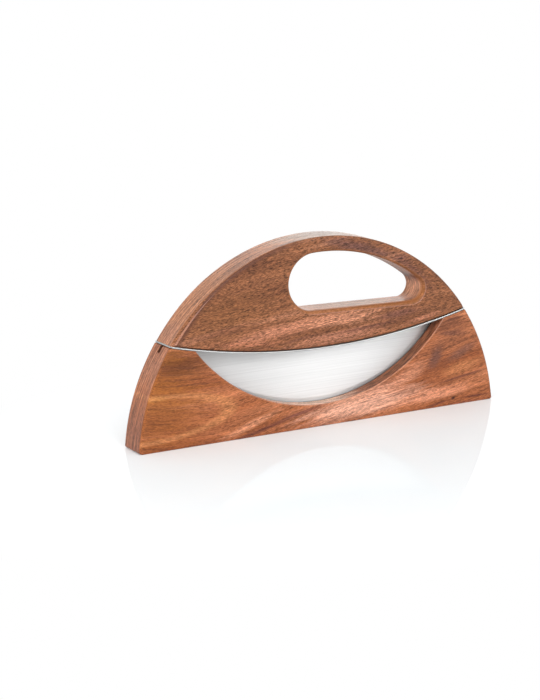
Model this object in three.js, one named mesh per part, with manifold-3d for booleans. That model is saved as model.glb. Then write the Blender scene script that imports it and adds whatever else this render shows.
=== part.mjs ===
// Mezzaluna that stands in its own wooden block, in millimetres, +Z up.
// X runs along the blade, -Y is the front, and the origin is the middle of the block's resting face.
import * as THREE from 'three';
import { mergeVertices } from 'three/addons/utils/BufferGeometryUtils.js';
import Module from 'manifold-3d';

// The arch: one ellipse that the block's ends and the handle's back both follow
const ARCH_HALF_SPAN = 141;
const ARCH_RISE = 144;
const ARCH_CENTRE_DROP = 13;
const WOOD_THICKNESS = 24;

// The seat: the arc on the handle's underside, which the plate and the block's top repeat
const SEAT_RADIUS = 474;
const SEAT_HEIGHT = 55.2;

// Steel
const PLATE_THICKNESS = 1;
const PLATE_OVERHANG = 0.6;
const BLADE_THICKNESS = 2;
const BLADE_DEPTH = 42.7;
const EDGE_RADIUS = 142;
const EDGE_BEVEL = 7;
const EDGE_LAND = 0.3;
const TIP_SETBACK = 5;
const TENON_PLACES = [-62, 0, 62];
const TENON_LENGTH = 18;
const TENON_THICKNESS = 1.6;

// Handle
const HANDLE_ROUNDING = 2.2;
const GRIP_BAR = 11;
const FINGER_LEFT_PLACE = -6.5;
const FINGER_LEFT_WEB = 25.4;
const FINGER_RIGHT_RADIUS = 8.5;
const FINGER_RIGHT_WEB = 23.6;

// Block
const BLOCK_ROUNDING = 2;
const BLOCK_CORNER_RADIUS = 2;
const BLOCK_FOOT_RADIUS = 2;
const WINDOW_RADIUS = 122.5;
const WINDOW_CHAMFER = 1;
const EDGE_COVER = 4.2;
const SAW_RADIUS_MARGIN = 15;

// Screws that hold the plate to the handle
const SCREW_PLACES = [-84, 0, 84];
const SCREW_LENGTH = 16;
const SCREW_HEAD_RADIUS = 3.4;
const SCREW_HEAD_RIM = 0.3;
const SCREW_SHANK_RADIUS = 1.75;
const SCREW_POINT = 3;
const RECESS_LENGTH = 3.6;
const RECESS_WIDTH = 0.9;
const RECESS_DEPTH = 1.1;

// Clearances
const BED_GAP = 0.1;
const SEAT_CLEARANCE = 0.3;
const SCREW_CLEARANCE = 0.3;
const TENON_CLEARANCE = 0.3;
const SLOT_SIDE_CLEARANCE = 0.6;
const SLOT_FLOOR_CLEARANCE = 2.5;

// Fineness of the curves
const ARCH_STEPS = 80;
const SEAT_STEPS = 44;
const DISC_STEPS = 144;
const CORNER_STEPS = 6;
const FINGER_END_STEPS = 16;
const FINGER_TOP_STEPS = 22;
const HANDLE_ROUNDING_STEPS = 4;
const BLOCK_ROUNDING_STEPS = 3;
const SCREW_STEPS = 16;

// How far a cutter or a blank runs past what it cuts
const OVERCUT = 5;
const BLANK_DEPTH = 20;

// Worked out from the sizes above
const BLANK_FLOOR = -ARCH_CENTRE_DROP - BLANK_DEPTH;
const CUT_FLOOR = BLANK_FLOOR - OVERCUT;
const SEAT_CENTRE_HEIGHT = SEAT_HEIGHT + SEAT_RADIUS;
const PLATE_TOP = BED_GAP;
const PLATE_UNDERSIDE = PLATE_TOP + PLATE_THICKNESS;
const SPINE = PLATE_UNDERSIDE + BED_GAP;
const BLOCK_TOP = PLATE_UNDERSIDE + SEAT_CLEARANCE;
const EDGE_HEIGHT = SEAT_HEIGHT - SPINE - BLADE_DEPTH;
const EDGE_CENTRE_HEIGHT = EDGE_HEIGHT + EDGE_RADIUS;
const WINDOW_CENTRE_HEIGHT = EDGE_HEIGHT + EDGE_COVER + WINDOW_RADIUS;
const SLOT_WIDTH = BLADE_THICKNESS + 2 * SLOT_SIDE_CLEARANCE;
const SLOT_RADIUS = EDGE_RADIUS + SAW_RADIUS_MARGIN;
const SLOT_CENTRE_HEIGHT = EDGE_HEIGHT - SLOT_FLOOR_CLEARANCE + SLOT_RADIUS;
const SCREW_ROW = (WOOD_THICKNESS + BLADE_THICKNESS) / 4;

const wasm = await Module();
wasm.setup();

// Solids: three.js geometry to manifold-3d and back

function solidOf(geometry) {
  const bare = geometry.clone();
  bare.deleteAttribute('normal');
  bare.deleteAttribute('uv');
  const merged = mergeVertices(bare, 1e-4);
  const corners = merged.index.array;
  const triangles = [];
  for (let i = 0; i < corners.length; i += 3) {
    const [a, b, c] = corners.slice(i, i + 3);
    if (a !== b && b !== c && c !== a) triangles.push(a, b, c);
  }
  return new wasm.Manifold(new wasm.Mesh({
    numProp: 3,
    vertProperties: new Float32Array(merged.attributes.position.array),
    triVerts: new Uint32Array(triangles),
  }));
}

function geometryOf(solid) {
  const mesh = solid.getMesh();
  const geometry = new THREE.BufferGeometry();
  geometry.setAttribute('position', new THREE.BufferAttribute(mesh.vertProperties, 3));
  geometry.setIndex(new THREE.BufferAttribute(mesh.triVerts, 1));
  return geometry;
}

// A front-view outline (x, z) made as thick as asked, in the middle of Y, with rounded front and back edges
function slab(shape, thickness, rounding = 0, steps = 1) {
  const depth = thickness - 2 * rounding;
  const geometry = new THREE.ExtrudeGeometry(shape, {
    depth,
    bevelEnabled: rounding > 0,
    bevelThickness: rounding,
    bevelSize: rounding,
    bevelOffset: -rounding,
    bevelSegments: steps,
  });
  return geometry.translate(0, 0, -depth / 2).rotateX(Math.PI / 2);
}

// A round disc on an axis along Y, from a profile of [radius, y] points that starts and ends on the axis
function disc(profile, centreHeight) {
  const points = profile.map(([radius, y]) => new THREE.Vector2(radius, y));
  return new THREE.LatheGeometry(points, DISC_STEPS).translate(0, 0, centreHeight);
}

// Curves

function bisect(test, low, high) {
  for (let i = 0; i < 60; i += 1) {
    const middle = (low + high) / 2;
    if (test(middle) > 0) low = middle;
    else high = middle;
  }
  return (low + high) / 2;
}

// The height of the arch's ellipse, drawn in by an inset
function archHeight(x, inset) {
  const share = x / (ARCH_HALF_SPAN - inset);
  return (ARCH_RISE - inset) * Math.sqrt(Math.max(0, 1 - share * share)) - ARCH_CENTRE_DROP;
}

// The angle on the inset ellipse that is level with a height, on the right side
function archAngle(height, inset) {
  return Math.asin((height + ARCH_CENTRE_DROP) / (ARCH_RISE - inset));
}

function archArc(fromAngle, toAngle, inset, steps) {
  const curve = new THREE.EllipseCurve(
    0, -ARCH_CENTRE_DROP, ARCH_HALF_SPAN - inset, ARCH_RISE - inset, fromAngle, toAngle, false,
  );
  return curve.getPoints(steps);
}

// The outline of a blank: the arch on straight legs
function archBlank() {
  return new THREE.Shape([
    new THREE.Vector2(ARCH_HALF_SPAN, BLANK_FLOOR),
    ...archArc(0, Math.PI, 0, ARCH_STEPS),
    new THREE.Vector2(-ARCH_HALF_SPAN, BLANK_FLOOR),
  ]);
}

// The outward direction of the inset ellipse at a point on it
function archNormal(x, height, inset) {
  const across = x / (ARCH_HALF_SPAN - inset) ** 2;
  const up = (height + ARCH_CENTRE_DROP) / (ARCH_RISE - inset) ** 2;
  return new THREE.Vector2(across, up).normalize();
}

// The height of the seat's arc, lowered by an offset along its radius
function seatHeight(x, offset) {
  return SEAT_CENTRE_HEIGHT - Math.sqrt((SEAT_RADIUS + offset) ** 2 - x * x);
}

// The seat's arc from right to left between two places
function seatArc(right, left, offset) {
  const radius = SEAT_RADIUS + offset;
  const curve = new THREE.EllipseCurve(
    0, SEAT_CENTRE_HEIGHT, radius, radius,
    Math.asin(right / radius) - Math.PI / 2, Math.asin(left / radius) - Math.PI / 2, true,
  );
  return curve.getPoints(SEAT_STEPS);
}

// Where the inset arch meets the lowered seat, on the right side
function archEnd(inset, offset) {
  return bisect((x) => archHeight(x, inset) - seatHeight(x, offset), 0, ARCH_HALF_SPAN - inset);
}

// The circle at one end of the finger hole, which touches both its floor and the underside of the grip bar
function fingerEnd(x, height, radius) {
  const touch = archNormal(x, height, GRIP_BAR + radius);
  return { x, height, radius, touchAngle: touch.angle() };
}

// The left end stands at its place and is as large as the room there
function fingerLeft() {
  const x = FINGER_LEFT_PLACE;
  const floor = SEAT_HEIGHT + FINGER_LEFT_WEB;
  const room = (radius) => archHeight(x, GRIP_BAR + radius) - floor - radius;
  const radius = bisect(room, 0, ARCH_RISE);
  return fingerEnd(x, floor + radius, radius);
}

// The right end keeps its radius and goes out as far as the grip bar lets it
function fingerRight() {
  const radius = FINGER_RIGHT_RADIUS;
  const inset = GRIP_BAR + radius;
  const height = SEAT_HEIGHT + FINGER_RIGHT_WEB + radius;
  const x = bisect((place) => archHeight(place, inset) - height, 0, ARCH_HALF_SPAN - inset);
  return fingerEnd(x, height, radius);
}

function circleArc(end, fromAngle, toAngle) {
  const curve = new THREE.EllipseCurve(end.x, end.height, end.radius, end.radius, fromAngle, toAngle, false);
  return curve.getPoints(FINGER_END_STEPS);
}

function fingerHole() {
  const left = fingerLeft();
  const right = fingerRight();
  const topFrom = right.height + right.radius * Math.sin(right.touchAngle);
  const topTo = left.height + left.radius * Math.sin(left.touchAngle);
  const top = archArc(
    archAngle(topFrom, GRIP_BAR),
    left.x < 0 ? Math.PI - archAngle(topTo, GRIP_BAR) : archAngle(topTo, GRIP_BAR),
    GRIP_BAR, FINGER_TOP_STEPS,
  );
  return [
    ...circleArc(right, -Math.PI / 2, right.touchAngle),
    ...top.slice(1, -1),
    ...circleArc(left, left.touchAngle, Math.PI * 1.5),
  ];
}

// Everything under the lowered seat, as wide as the arch
function underSeat(offset, thickness) {
  const reach = ARCH_HALF_SPAN + OVERCUT;
  const outline = new THREE.Shape([
    new THREE.Vector2(-reach, CUT_FLOOR),
    new THREE.Vector2(reach, CUT_FLOOR),
    ...seatArc(reach, -reach, offset),
  ]);
  return solidOf(slab(outline, thickness));
}

// A round corner of the block's end, turning from one direction to another
function cornerArc(centre, radius, fromAngle, toAngle) {
  const curve = new THREE.EllipseCurve(centre.x, centre.y, radius, radius, fromAngle, toAngle, false);
  return curve.getPoints(CORNER_STEPS);
}

// Where the tangents at two points of the arch cross
function tangentCrossing(low, lowNormal, high, highNormal) {
  const turn = lowNormal.cross(highNormal);
  const lowReach = low.dot(lowNormal);
  const highReach = high.dot(highNormal);
  return new THREE.Vector2(
    (lowReach * highNormal.y - highReach * lowNormal.y) / turn,
    (highReach * lowNormal.x - lowReach * highNormal.x) / turn,
  );
}

// Everything from the resting face to the block's top, with small round corners where its ends meet the arch
function blockEnvelope() {
  const foot = BLOCK_FOOT_RADIUS;
  const footX = (ARCH_HALF_SPAN - foot) * Math.cos(archAngle(foot, foot));
  const footOut = archNormal(footX, foot, foot);
  const lower = cornerArc({ x: footX, y: foot }, foot, -Math.PI / 2, footOut.angle());
  const inset = BLOCK_CORNER_RADIUS;
  const x = archEnd(inset, BLOCK_TOP + inset);
  const centre = new THREE.Vector2(x, archHeight(x, inset));
  const outward = archNormal(x, centre.y, inset);
  const upward = new THREE.Vector2(-x, SEAT_CENTRE_HEIGHT - centre.y).normalize();
  const upper = cornerArc(centre, inset, outward.angle(), upward.angle());
  const right = [...lower, tangentCrossing(lower[CORNER_STEPS], footOut, upper[0], outward), ...upper];
  const left = right.map((point) => new THREE.Vector2(-point.x, point.y)).reverse();
  const last = upper[CORNER_STEPS];
  const top = seatArc(last.x, -last.x, BLOCK_TOP).slice(1, -1);
  return solidOf(slab(new THREE.Shape([...right, ...top, ...left]), WOOD_THICKNESS + 2 * OVERCUT));
}

// The place of something that stands square on the plate's underside
function plateFrame(x, y) {
  const radius = SEAT_RADIUS + PLATE_UNDERSIDE;
  const lean = Math.asin(x / radius);
  const position = new THREE.Vector3(x, y, SEAT_CENTRE_HEIGHT - radius * Math.cos(lean));
  return { position, lean };
}

function placed(geometry, { position, lean }) {
  return geometry.rotateY(-lean).translate(position.x, position.y, position.z);
}

// Screws

function screwSpots() {
  const rows = [-SCREW_ROW, SCREW_ROW];
  return rows.flatMap((y) => SCREW_PLACES.map((x) => plateFrame(x, y)));
}

function turned(profile) {
  const points = profile.map(([radius, height]) => new THREE.Vector2(radius, height));
  return new THREE.LatheGeometry(points, SCREW_STEPS).rotateX(Math.PI / 2);
}

function screwGeometry() {
  const cone = SCREW_HEAD_RADIUS - SCREW_SHANK_RADIUS;
  const body = turned([
    [0, 0],
    [SCREW_HEAD_RADIUS, 0],
    [SCREW_HEAD_RADIUS, SCREW_HEAD_RIM],
    [SCREW_SHANK_RADIUS, SCREW_HEAD_RIM + cone],
    [SCREW_SHANK_RADIUS, SCREW_LENGTH - SCREW_POINT],
    [0, SCREW_LENGTH],
  ]);
  const blades = [[RECESS_LENGTH, RECESS_WIDTH], [RECESS_WIDTH, RECESS_LENGTH]];
  return geometryOf(blades.reduce(
    (solid, [width, length]) => solid.subtract(
      solidOf(new THREE.BoxGeometry(width, length, 2 * RECESS_DEPTH)),
    ),
    solidOf(body),
  ));
}

function screwHole() {
  const head = SCREW_HEAD_RADIUS + SCREW_CLEARANCE;
  const shank = SCREW_SHANK_RADIUS + SCREW_CLEARANCE;
  const depth = SCREW_LENGTH + SCREW_CLEARANCE;
  return turned([
    [0, -OVERCUT],
    [head, -OVERCUT],
    [head, SCREW_HEAD_RIM],
    [shank, SCREW_HEAD_RIM + head - shank],
    [shank, depth - SCREW_POINT],
    [0, depth],
  ]);
}

function withScrewHoles(solid) {
  return screwSpots().reduce((left, spot) => left.subtract(solidOf(placed(screwHole(), spot))), solid);
}

// The pieces

function handleGeometry() {
  const outline = archBlank();
  outline.holes.push(new THREE.Path(fingerHole()));
  const blank = solidOf(slab(outline, WOOD_THICKNESS, HANDLE_ROUNDING, HANDLE_ROUNDING_STEPS));
  return geometryOf(withScrewHoles(blank.subtract(underSeat(0, WOOD_THICKNESS + 2 * OVERCUT))));
}

function plateGeometry() {
  const end = archEnd(0, 0) + PLATE_OVERHANG;
  const reach = end + OVERCUT;
  const strip = new THREE.Shape([
    ...seatArc(reach, -reach, PLATE_TOP),
    ...seatArc(reach, -reach, PLATE_UNDERSIDE).reverse(),
  ]);
  const half = WOOD_THICKNESS / 2;
  const radius = HANDLE_ROUNDING;
  const plan = new THREE.Shape();
  plan.absarc(end - radius, half - radius, radius, 0, Math.PI / 2, false);
  plan.absarc(-end + radius, half - radius, radius, Math.PI / 2, Math.PI, false);
  plan.absarc(-end + radius, -half + radius, radius, Math.PI, Math.PI * 1.5, false);
  plan.absarc(end - radius, -half + radius, radius, Math.PI * 1.5, Math.PI * 2, false);
  const height = 2 * ARCH_RISE;
  const column = new THREE.ExtrudeGeometry(plan, {
    depth: height, bevelEnabled: false, curveSegments: CORNER_STEPS / 2,
  });
  const bare = solidOf(slab(strip, WOOD_THICKNESS + 2 * OVERCUT)).intersect(solidOf(column));
  const slot = [TENON_LENGTH + 2 * TENON_CLEARANCE, TENON_THICKNESS + 2 * TENON_CLEARANCE];
  const slotted = TENON_PLACES.reduce(
    (left, x) => left.subtract(solidOf(placed(new THREE.BoxGeometry(...slot, 2 * OVERCUT), plateFrame(x, 0)))),
    bare,
  );
  return geometryOf(withScrewHoles(slotted));
}

function bladeGeometry() {
  const half = BLADE_THICKNESS / 2;
  const ground = disc([
    [0, -half],
    [EDGE_RADIUS - EDGE_BEVEL, -half],
    [EDGE_RADIUS, -EDGE_LAND / 2],
    [EDGE_RADIUS, EDGE_LAND / 2],
    [EDGE_RADIUS - EDGE_BEVEL, half],
    [0, half],
  ], EDGE_CENTRE_HEIGHT);
  const length = 2 * (archEnd(0, 0) - TIP_SETBACK);
  const tips = new THREE.BoxGeometry(length, BLADE_THICKNESS + 2 * OVERCUT, 2 * ARCH_RISE);
  const crescent = solidOf(ground).intersect(underSeat(SPINE, WOOD_THICKNESS)).intersect(solidOf(tips));
  const rise = PLATE_THICKNESS - BED_GAP;
  const tenon = () => new THREE.BoxGeometry(TENON_LENGTH, TENON_THICKNESS, rise + OVERCUT)
    .translate(0, 0, (rise - OVERCUT) / 2);
  return geometryOf(TENON_PLACES.reduce(
    (left, x) => left.add(solidOf(placed(tenon(), plateFrame(x, 0)))),
    crescent,
  ));
}

function blockGeometry() {
  const blank = solidOf(slab(archBlank(), WOOD_THICKNESS, BLOCK_ROUNDING, BLOCK_ROUNDING_STEPS));
  const face = WOOD_THICKNESS / 2 + OVERCUT;
  const chamferStart = WOOD_THICKNESS / 2 - WINDOW_CHAMFER;
  const flare = WINDOW_RADIUS + WINDOW_CHAMFER + OVERCUT;
  const window = disc([
    [0, -face],
    [flare, -face],
    [WINDOW_RADIUS, -chamferStart],
    [WINDOW_RADIUS, chamferStart],
    [flare, face],
    [0, face],
  ], WINDOW_CENTRE_HEIGHT);
  const slot = disc([
    [0, -SLOT_WIDTH / 2],
    [SLOT_RADIUS, -SLOT_WIDTH / 2],
    [SLOT_RADIUS, SLOT_WIDTH / 2],
    [0, SLOT_WIDTH / 2],
  ], SLOT_CENTRE_HEIGHT);
  return geometryOf(blank.intersect(blockEnvelope()).subtract(solidOf(window)).subtract(solidOf(slot)));
}

// Finishes

function wood(color) {
  return new THREE.MeshStandardMaterial({ color, roughness: 0.55, metalness: 0 });
}

function steel(color, roughness) {
  return new THREE.MeshStandardMaterial({ color, roughness, metalness: 1 });
}

function piece(name, geometry, material) {
  const mesh = new THREE.Mesh(geometry, material);
  mesh.name = name;
  return mesh;
}

// The knife lifts straight up out of the block
const knife = new THREE.Group();
knife.add(piece('handle', handleGeometry(), wood(0x96604a)));
knife.add(piece('bolster_plate', plateGeometry(), steel(0xd2d2d0, 0.3)));
knife.add(piece('blade', bladeGeometry(), steel(0xc9cacb, 0.35)));
screwSpots().forEach((spot, index) => {
  const screw = piece(`plate_screw_${index + 1}`, screwGeometry(), steel(0xb9bbbd, 0.4));
  screw.position.copy(spot.position);
  screw.rotation.y = -spot.lean;
  knife.add(screw);
});

const mezzaluna = new THREE.Group();
mezzaluna.add(piece('block', blockGeometry(), wood(0xb1744b)));
mezzaluna.add(knife);

export default mezzaluna;
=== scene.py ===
"""Looks of a mezzaluna that stands in its wooden block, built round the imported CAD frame, in metres."""

import logging
import math
from collections.abc import Callable, Sequence
from dataclasses import dataclass
from enum import Enum

import bpy
import numpy as np
from mathutils import Matrix, Vector
from mathutils.geometry import tessellate_polygon


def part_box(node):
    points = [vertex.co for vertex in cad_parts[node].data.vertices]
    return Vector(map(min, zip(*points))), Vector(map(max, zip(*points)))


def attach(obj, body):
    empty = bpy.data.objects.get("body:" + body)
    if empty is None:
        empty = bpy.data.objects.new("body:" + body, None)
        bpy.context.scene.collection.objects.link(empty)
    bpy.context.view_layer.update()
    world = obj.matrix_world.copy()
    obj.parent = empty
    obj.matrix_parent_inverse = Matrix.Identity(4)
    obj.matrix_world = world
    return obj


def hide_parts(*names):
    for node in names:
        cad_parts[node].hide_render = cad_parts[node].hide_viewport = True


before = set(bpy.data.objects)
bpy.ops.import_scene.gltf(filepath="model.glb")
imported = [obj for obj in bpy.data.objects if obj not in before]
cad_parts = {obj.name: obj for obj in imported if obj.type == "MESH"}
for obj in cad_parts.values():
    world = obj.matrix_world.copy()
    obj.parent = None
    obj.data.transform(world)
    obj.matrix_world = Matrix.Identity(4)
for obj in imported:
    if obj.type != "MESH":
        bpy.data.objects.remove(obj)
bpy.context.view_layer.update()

Array = np.ndarray
Object = bpy.types.Object
Material = bpy.types.Material
Socket = bpy.types.NodeSocket
Inputs = dict[str | int, object]
Colour = tuple[float, float, float, float]
MM = 0.001
QUARTER = math.pi / 2
FRONT, BACK = SIDES = (-1, 1)
LOG = logging.getLogger("mezzaluna")

# Rows of points across a shaped edge, the edge shapes that repeat, and the limits of the sums.
EDGE_ROWS = 10
SHOULDER_SLOPE = 1.5
BEVEL_STEP = 0.9
SMOOTH_JOIN = 0.995
LEAST_AREA = 1e-13
HALVINGS = 60
BOX_CORNERS = [(x, y, z) for z in (-1, 1) for x, y in ((-1, -1), (1, -1), (1, 1), (-1, 1))]
BOX_FACES = ((3, 2, 1, 0), (4, 5, 6, 7), (0, 1, 5, 4), (1, 2, 6, 5), (2, 3, 7, 6), (3, 0, 4, 7))


class Body(str, Enum):
    """The CAD bodies that the pieces ride on."""

    BLOCK = "block"
    KNIFE = "knife"


class Slot(str, Enum):
    """The record's material slots."""

    BLOCK = "block_wood"
    HANDLE = "handle_wood"
    PLATE = "plate_steel"
    BLADE = "blade_steel"
    SCREW = "screw_steel"


class Trim(Enum):
    """What a face of the wood is, as the values that its finish reads."""

    PLAIN = (0.0, 0.0, 0.0)
    # Faces that the finish lightens as a painted highlight.
    SHOULDER = (1.0, 0.0, 0.0)
    # Painted shade, in the slot and on the strip beside it.
    SLOT_SHADE = (0.0, 1.0, 0.0)
    ROUTED = (0.0, 0.0, 1.0)


def srgb(red: int, green: int, blue: int) -> Colour:
    """Turn a display colour into the linear one that a shader takes.

    Args:
        red: Red, 0 to 255.
        green: Green, 0 to 255.
        blue: Blue, 0 to 255.

    Returns:
        The linear colour with full alpha.
    """
    shares = [channel / 255 for channel in (red, green, blue)]
    linear = [s / 12.92 if s <= 0.04045 else ((s + 0.055) / 1.055) ** 2.4 for s in shares]
    return (*linear, 1.0)


def bisect(test: Callable[[float], float], low: float, high: float) -> float:
    """Find where a falling function passes zero.

    Args:
        test: The function, above zero at low and below it at high.
        low: One end of the search.
        high: The other end.

    Returns:
        The place of the zero.
    """
    for _ in range(HALVINGS):
        middle = (low + high) / 2
        if test(middle) > 0:
            low = middle
        else:
            high = middle
    return (low + high) / 2


def spaced(first: float, last: float, margin: float, count: int) -> Array:
    """Space values evenly between two ends, with the end ones a margin away from their neighbours."""
    step = math.copysign(margin, last - first)
    return np.concatenate([[first], np.linspace(first + step, last - step, count), [last]])


def grows(value: Array, start: float, length: float) -> Array:
    """Go from 0 at a start to 1 a length further on."""
    return np.clip((value - start) / length, 0, 1)


def rays(angles: Array) -> Array:
    """Give the unit direction at each angle from the right."""
    return np.stack([np.cos(angles), np.sin(angles)], -1)


def heading(way: Array) -> float:
    """Give the angle of a direction from the right."""
    return math.atan2(way[1], way[0])


def in_space(flat: Array, y: float | Array = 0.0) -> Array:
    """Give (x, z) rows of the front view their place across the thickness."""
    return np.stack(np.broadcast_arrays(flat[..., 0], y, flat[..., 1]), -1)


def box_corners(size: Sequence[float], lift: float = 0.0) -> Array:
    """Give the eight corners of a box whose middle is lifted off the origin."""
    return np.array(BOX_CORNERS) * np.array(size) / 2 + np.array([0, 0, lift])


def new_object(name: str, points: Sequence, faces: Sequence, place: Matrix | None = None) -> Object:
    """Make a mesh object in the scene.

    Args:
        name: Its name.
        points: One (x, y, z) row for each point.
        faces: The point numbers of each face.
        place: Where it stands, if not at the origin.

    Returns:
        The object.
    """
    mesh = bpy.data.meshes.new(name)
    mesh.from_pydata(points, [], faces)
    made = bpy.data.objects.new(name, mesh)
    bpy.context.scene.collection.objects.link(made)
    if place is not None:
        made.matrix_world = place
    return made


def cut(piece: Object, cutters: Sequence[Object]) -> None:
    """Cut shapes out of a piece.

    Args:
        piece: The piece.
        cutters: The shapes, which are removed.
    """
    for cutter in cutters:
        change = piece.modifiers.new("cut", "BOOLEAN")
        change.operation = "DIFFERENCE"
        change.solver = "EXACT"
        change.object = cutter
    graph = bpy.context.evaluated_depsgraph_get()
    graph.update()
    mesh = bpy.data.meshes.new_from_object(piece.evaluated_get(graph))
    piece.modifiers.clear()
    old, piece.data = piece.data, mesh
    bpy.data.meshes.remove(old)
    mesh.name = piece.name
    for cutter in cutters:
        bpy.data.objects.remove(cutter)


@dataclass(frozen=True)
class Form:
    """The driving sizes that the pieces share, in metres. Outlines are front views of (x, z) points."""

    thickness: float
    half_span: float
    rise: float
    seat_height: float
    plate_end: float
    blade_half: float
    blade_tip: float
    edge_height: float
    drop: float = 13 * MM
    seat_radius: float = 474 * MM
    plate_top: float = 0.1 * MM
    plate_thickness: float = 1.0 * MM
    seat_clearance: float = 0.3 * MM
    window_radius: float = 122.5 * MM
    edge_cover: float = 4.2 * MM
    edge_radius: float = 142 * MM
    saw_margin: float = 15 * MM
    slot_clearance: float = 0.6 * MM
    slot_floor_clearance: float = 2.5 * MM
    tenon_places: tuple[float, ...] = (-62 * MM, 0.0, 62 * MM)
    least_shoulder: float = 0.02 * MM

    @classmethod
    def from_frame(cls) -> "Form":
        """Read what the CAD nodes' boxes give.

        Returns:
            The sizes, with the rest at their named values.
        """
        block, handle, blade, plate = (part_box(n) for n in ("block", "handle", "blade", "bolster_plate"))
        rise = handle[1].z + cls.drop
        end = handle[1].x
        end_height = handle[0].z + cls.seat_radius - math.sqrt(cls.seat_radius ** 2 - end ** 2)
        return cls(
            thickness=block[1].y - block[0].y,
            half_span=end / math.sqrt(1 - ((end_height + cls.drop) / rise) ** 2),
            rise=rise,
            seat_height=handle[0].z,
            plate_end=plate[1].x,
            blade_half=blade[1].y,
            blade_tip=blade[1].x,
            edge_height=blade[0].z,
        )

    @property
    def half(self) -> float:
        """Half the wood's thickness."""
        return self.thickness / 2

    @property
    def seat_centre(self) -> float:
        """The height of the seat arc's centre."""
        return self.seat_height + self.seat_radius

    @property
    def plate_underside(self) -> float:
        """How far the plate's underside is below the seat."""
        return self.plate_top + self.plate_thickness

    @property
    def block_top(self) -> float:
        """How far the block's top is below the seat."""
        return self.plate_underside + self.seat_clearance

    @property
    def edge_centre(self) -> float:
        """The height of the cutting edge's centre."""
        return self.edge_height + self.edge_radius

    @property
    def window_centre(self) -> float:
        """The height of the window circle's centre."""
        return self.edge_height + self.edge_cover + self.window_radius

    @property
    def slot_half(self) -> float:
        """Half the width of the saw slot."""
        return self.blade_half + self.slot_clearance

    @property
    def slot_radius(self) -> float:
        """The radius of the saw slot's floor."""
        return self.edge_radius + self.saw_margin

    @property
    def slot_centre(self) -> float:
        """The height of the saw slot's centre."""
        return self.edge_height - self.slot_floor_clearance + self.slot_radius

    def arch(self, angles: Array, inset: float = 0) -> Array:
        """Give the arch's point at each angle, on an ellipse whose half axes are shorter by an inset."""
        return rays(angles) * np.array([self.half_span - inset, self.rise - inset]) - np.array([0, self.drop])

    def arch_inward(self, angles: Array, inset: float = 0) -> Array:
        """Give the unit direction at each angle from the arch into what it encloses."""
        inward = -rays(angles) / np.array([self.half_span - inset, self.rise - inset])
        return inward / np.linalg.norm(inward, axis=-1, keepdims=True)

    def arch_angle(self, height: float, inset: float = 0) -> float:
        """Give the arch's angle at a height, on the right side."""
        return math.asin(min(1.0, (height + self.drop) / (self.rise - inset)))

    def seat(self, x: Array, offset: float) -> Array:
        """Give the height of the seat's arc at each place, lowered along its radius by an offset."""
        return self.seat_centre - np.sqrt((self.seat_radius + offset) ** 2 - np.square(x))

    def seat_points(self, x: Array, offset: float) -> Array:
        """Give the points of that arc."""
        return np.stack([x, self.seat(x, offset)], -1)

    def seat_up(self, x: Array, offset: float) -> Array:
        """Give the unit direction at each place from that arc to its centre."""
        return (np.array([0, self.seat_centre]) - self.seat_points(x, offset)) / (self.seat_radius + offset)

    def stand(self, x: float, y: float) -> Matrix:
        """Give the place of something that stands square on the plate's underside.

        Args:
            x: The place along the plate.
            y: The place across it.

        Returns:
            The matrix.
        """
        radius = self.seat_radius + self.plate_underside
        lean = math.asin(x / radius)
        height = self.seat_centre - radius * math.cos(lean)
        return Matrix.Translation((x, y, height)) @ Matrix.Rotation(-lean, 4, "Y")


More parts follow.
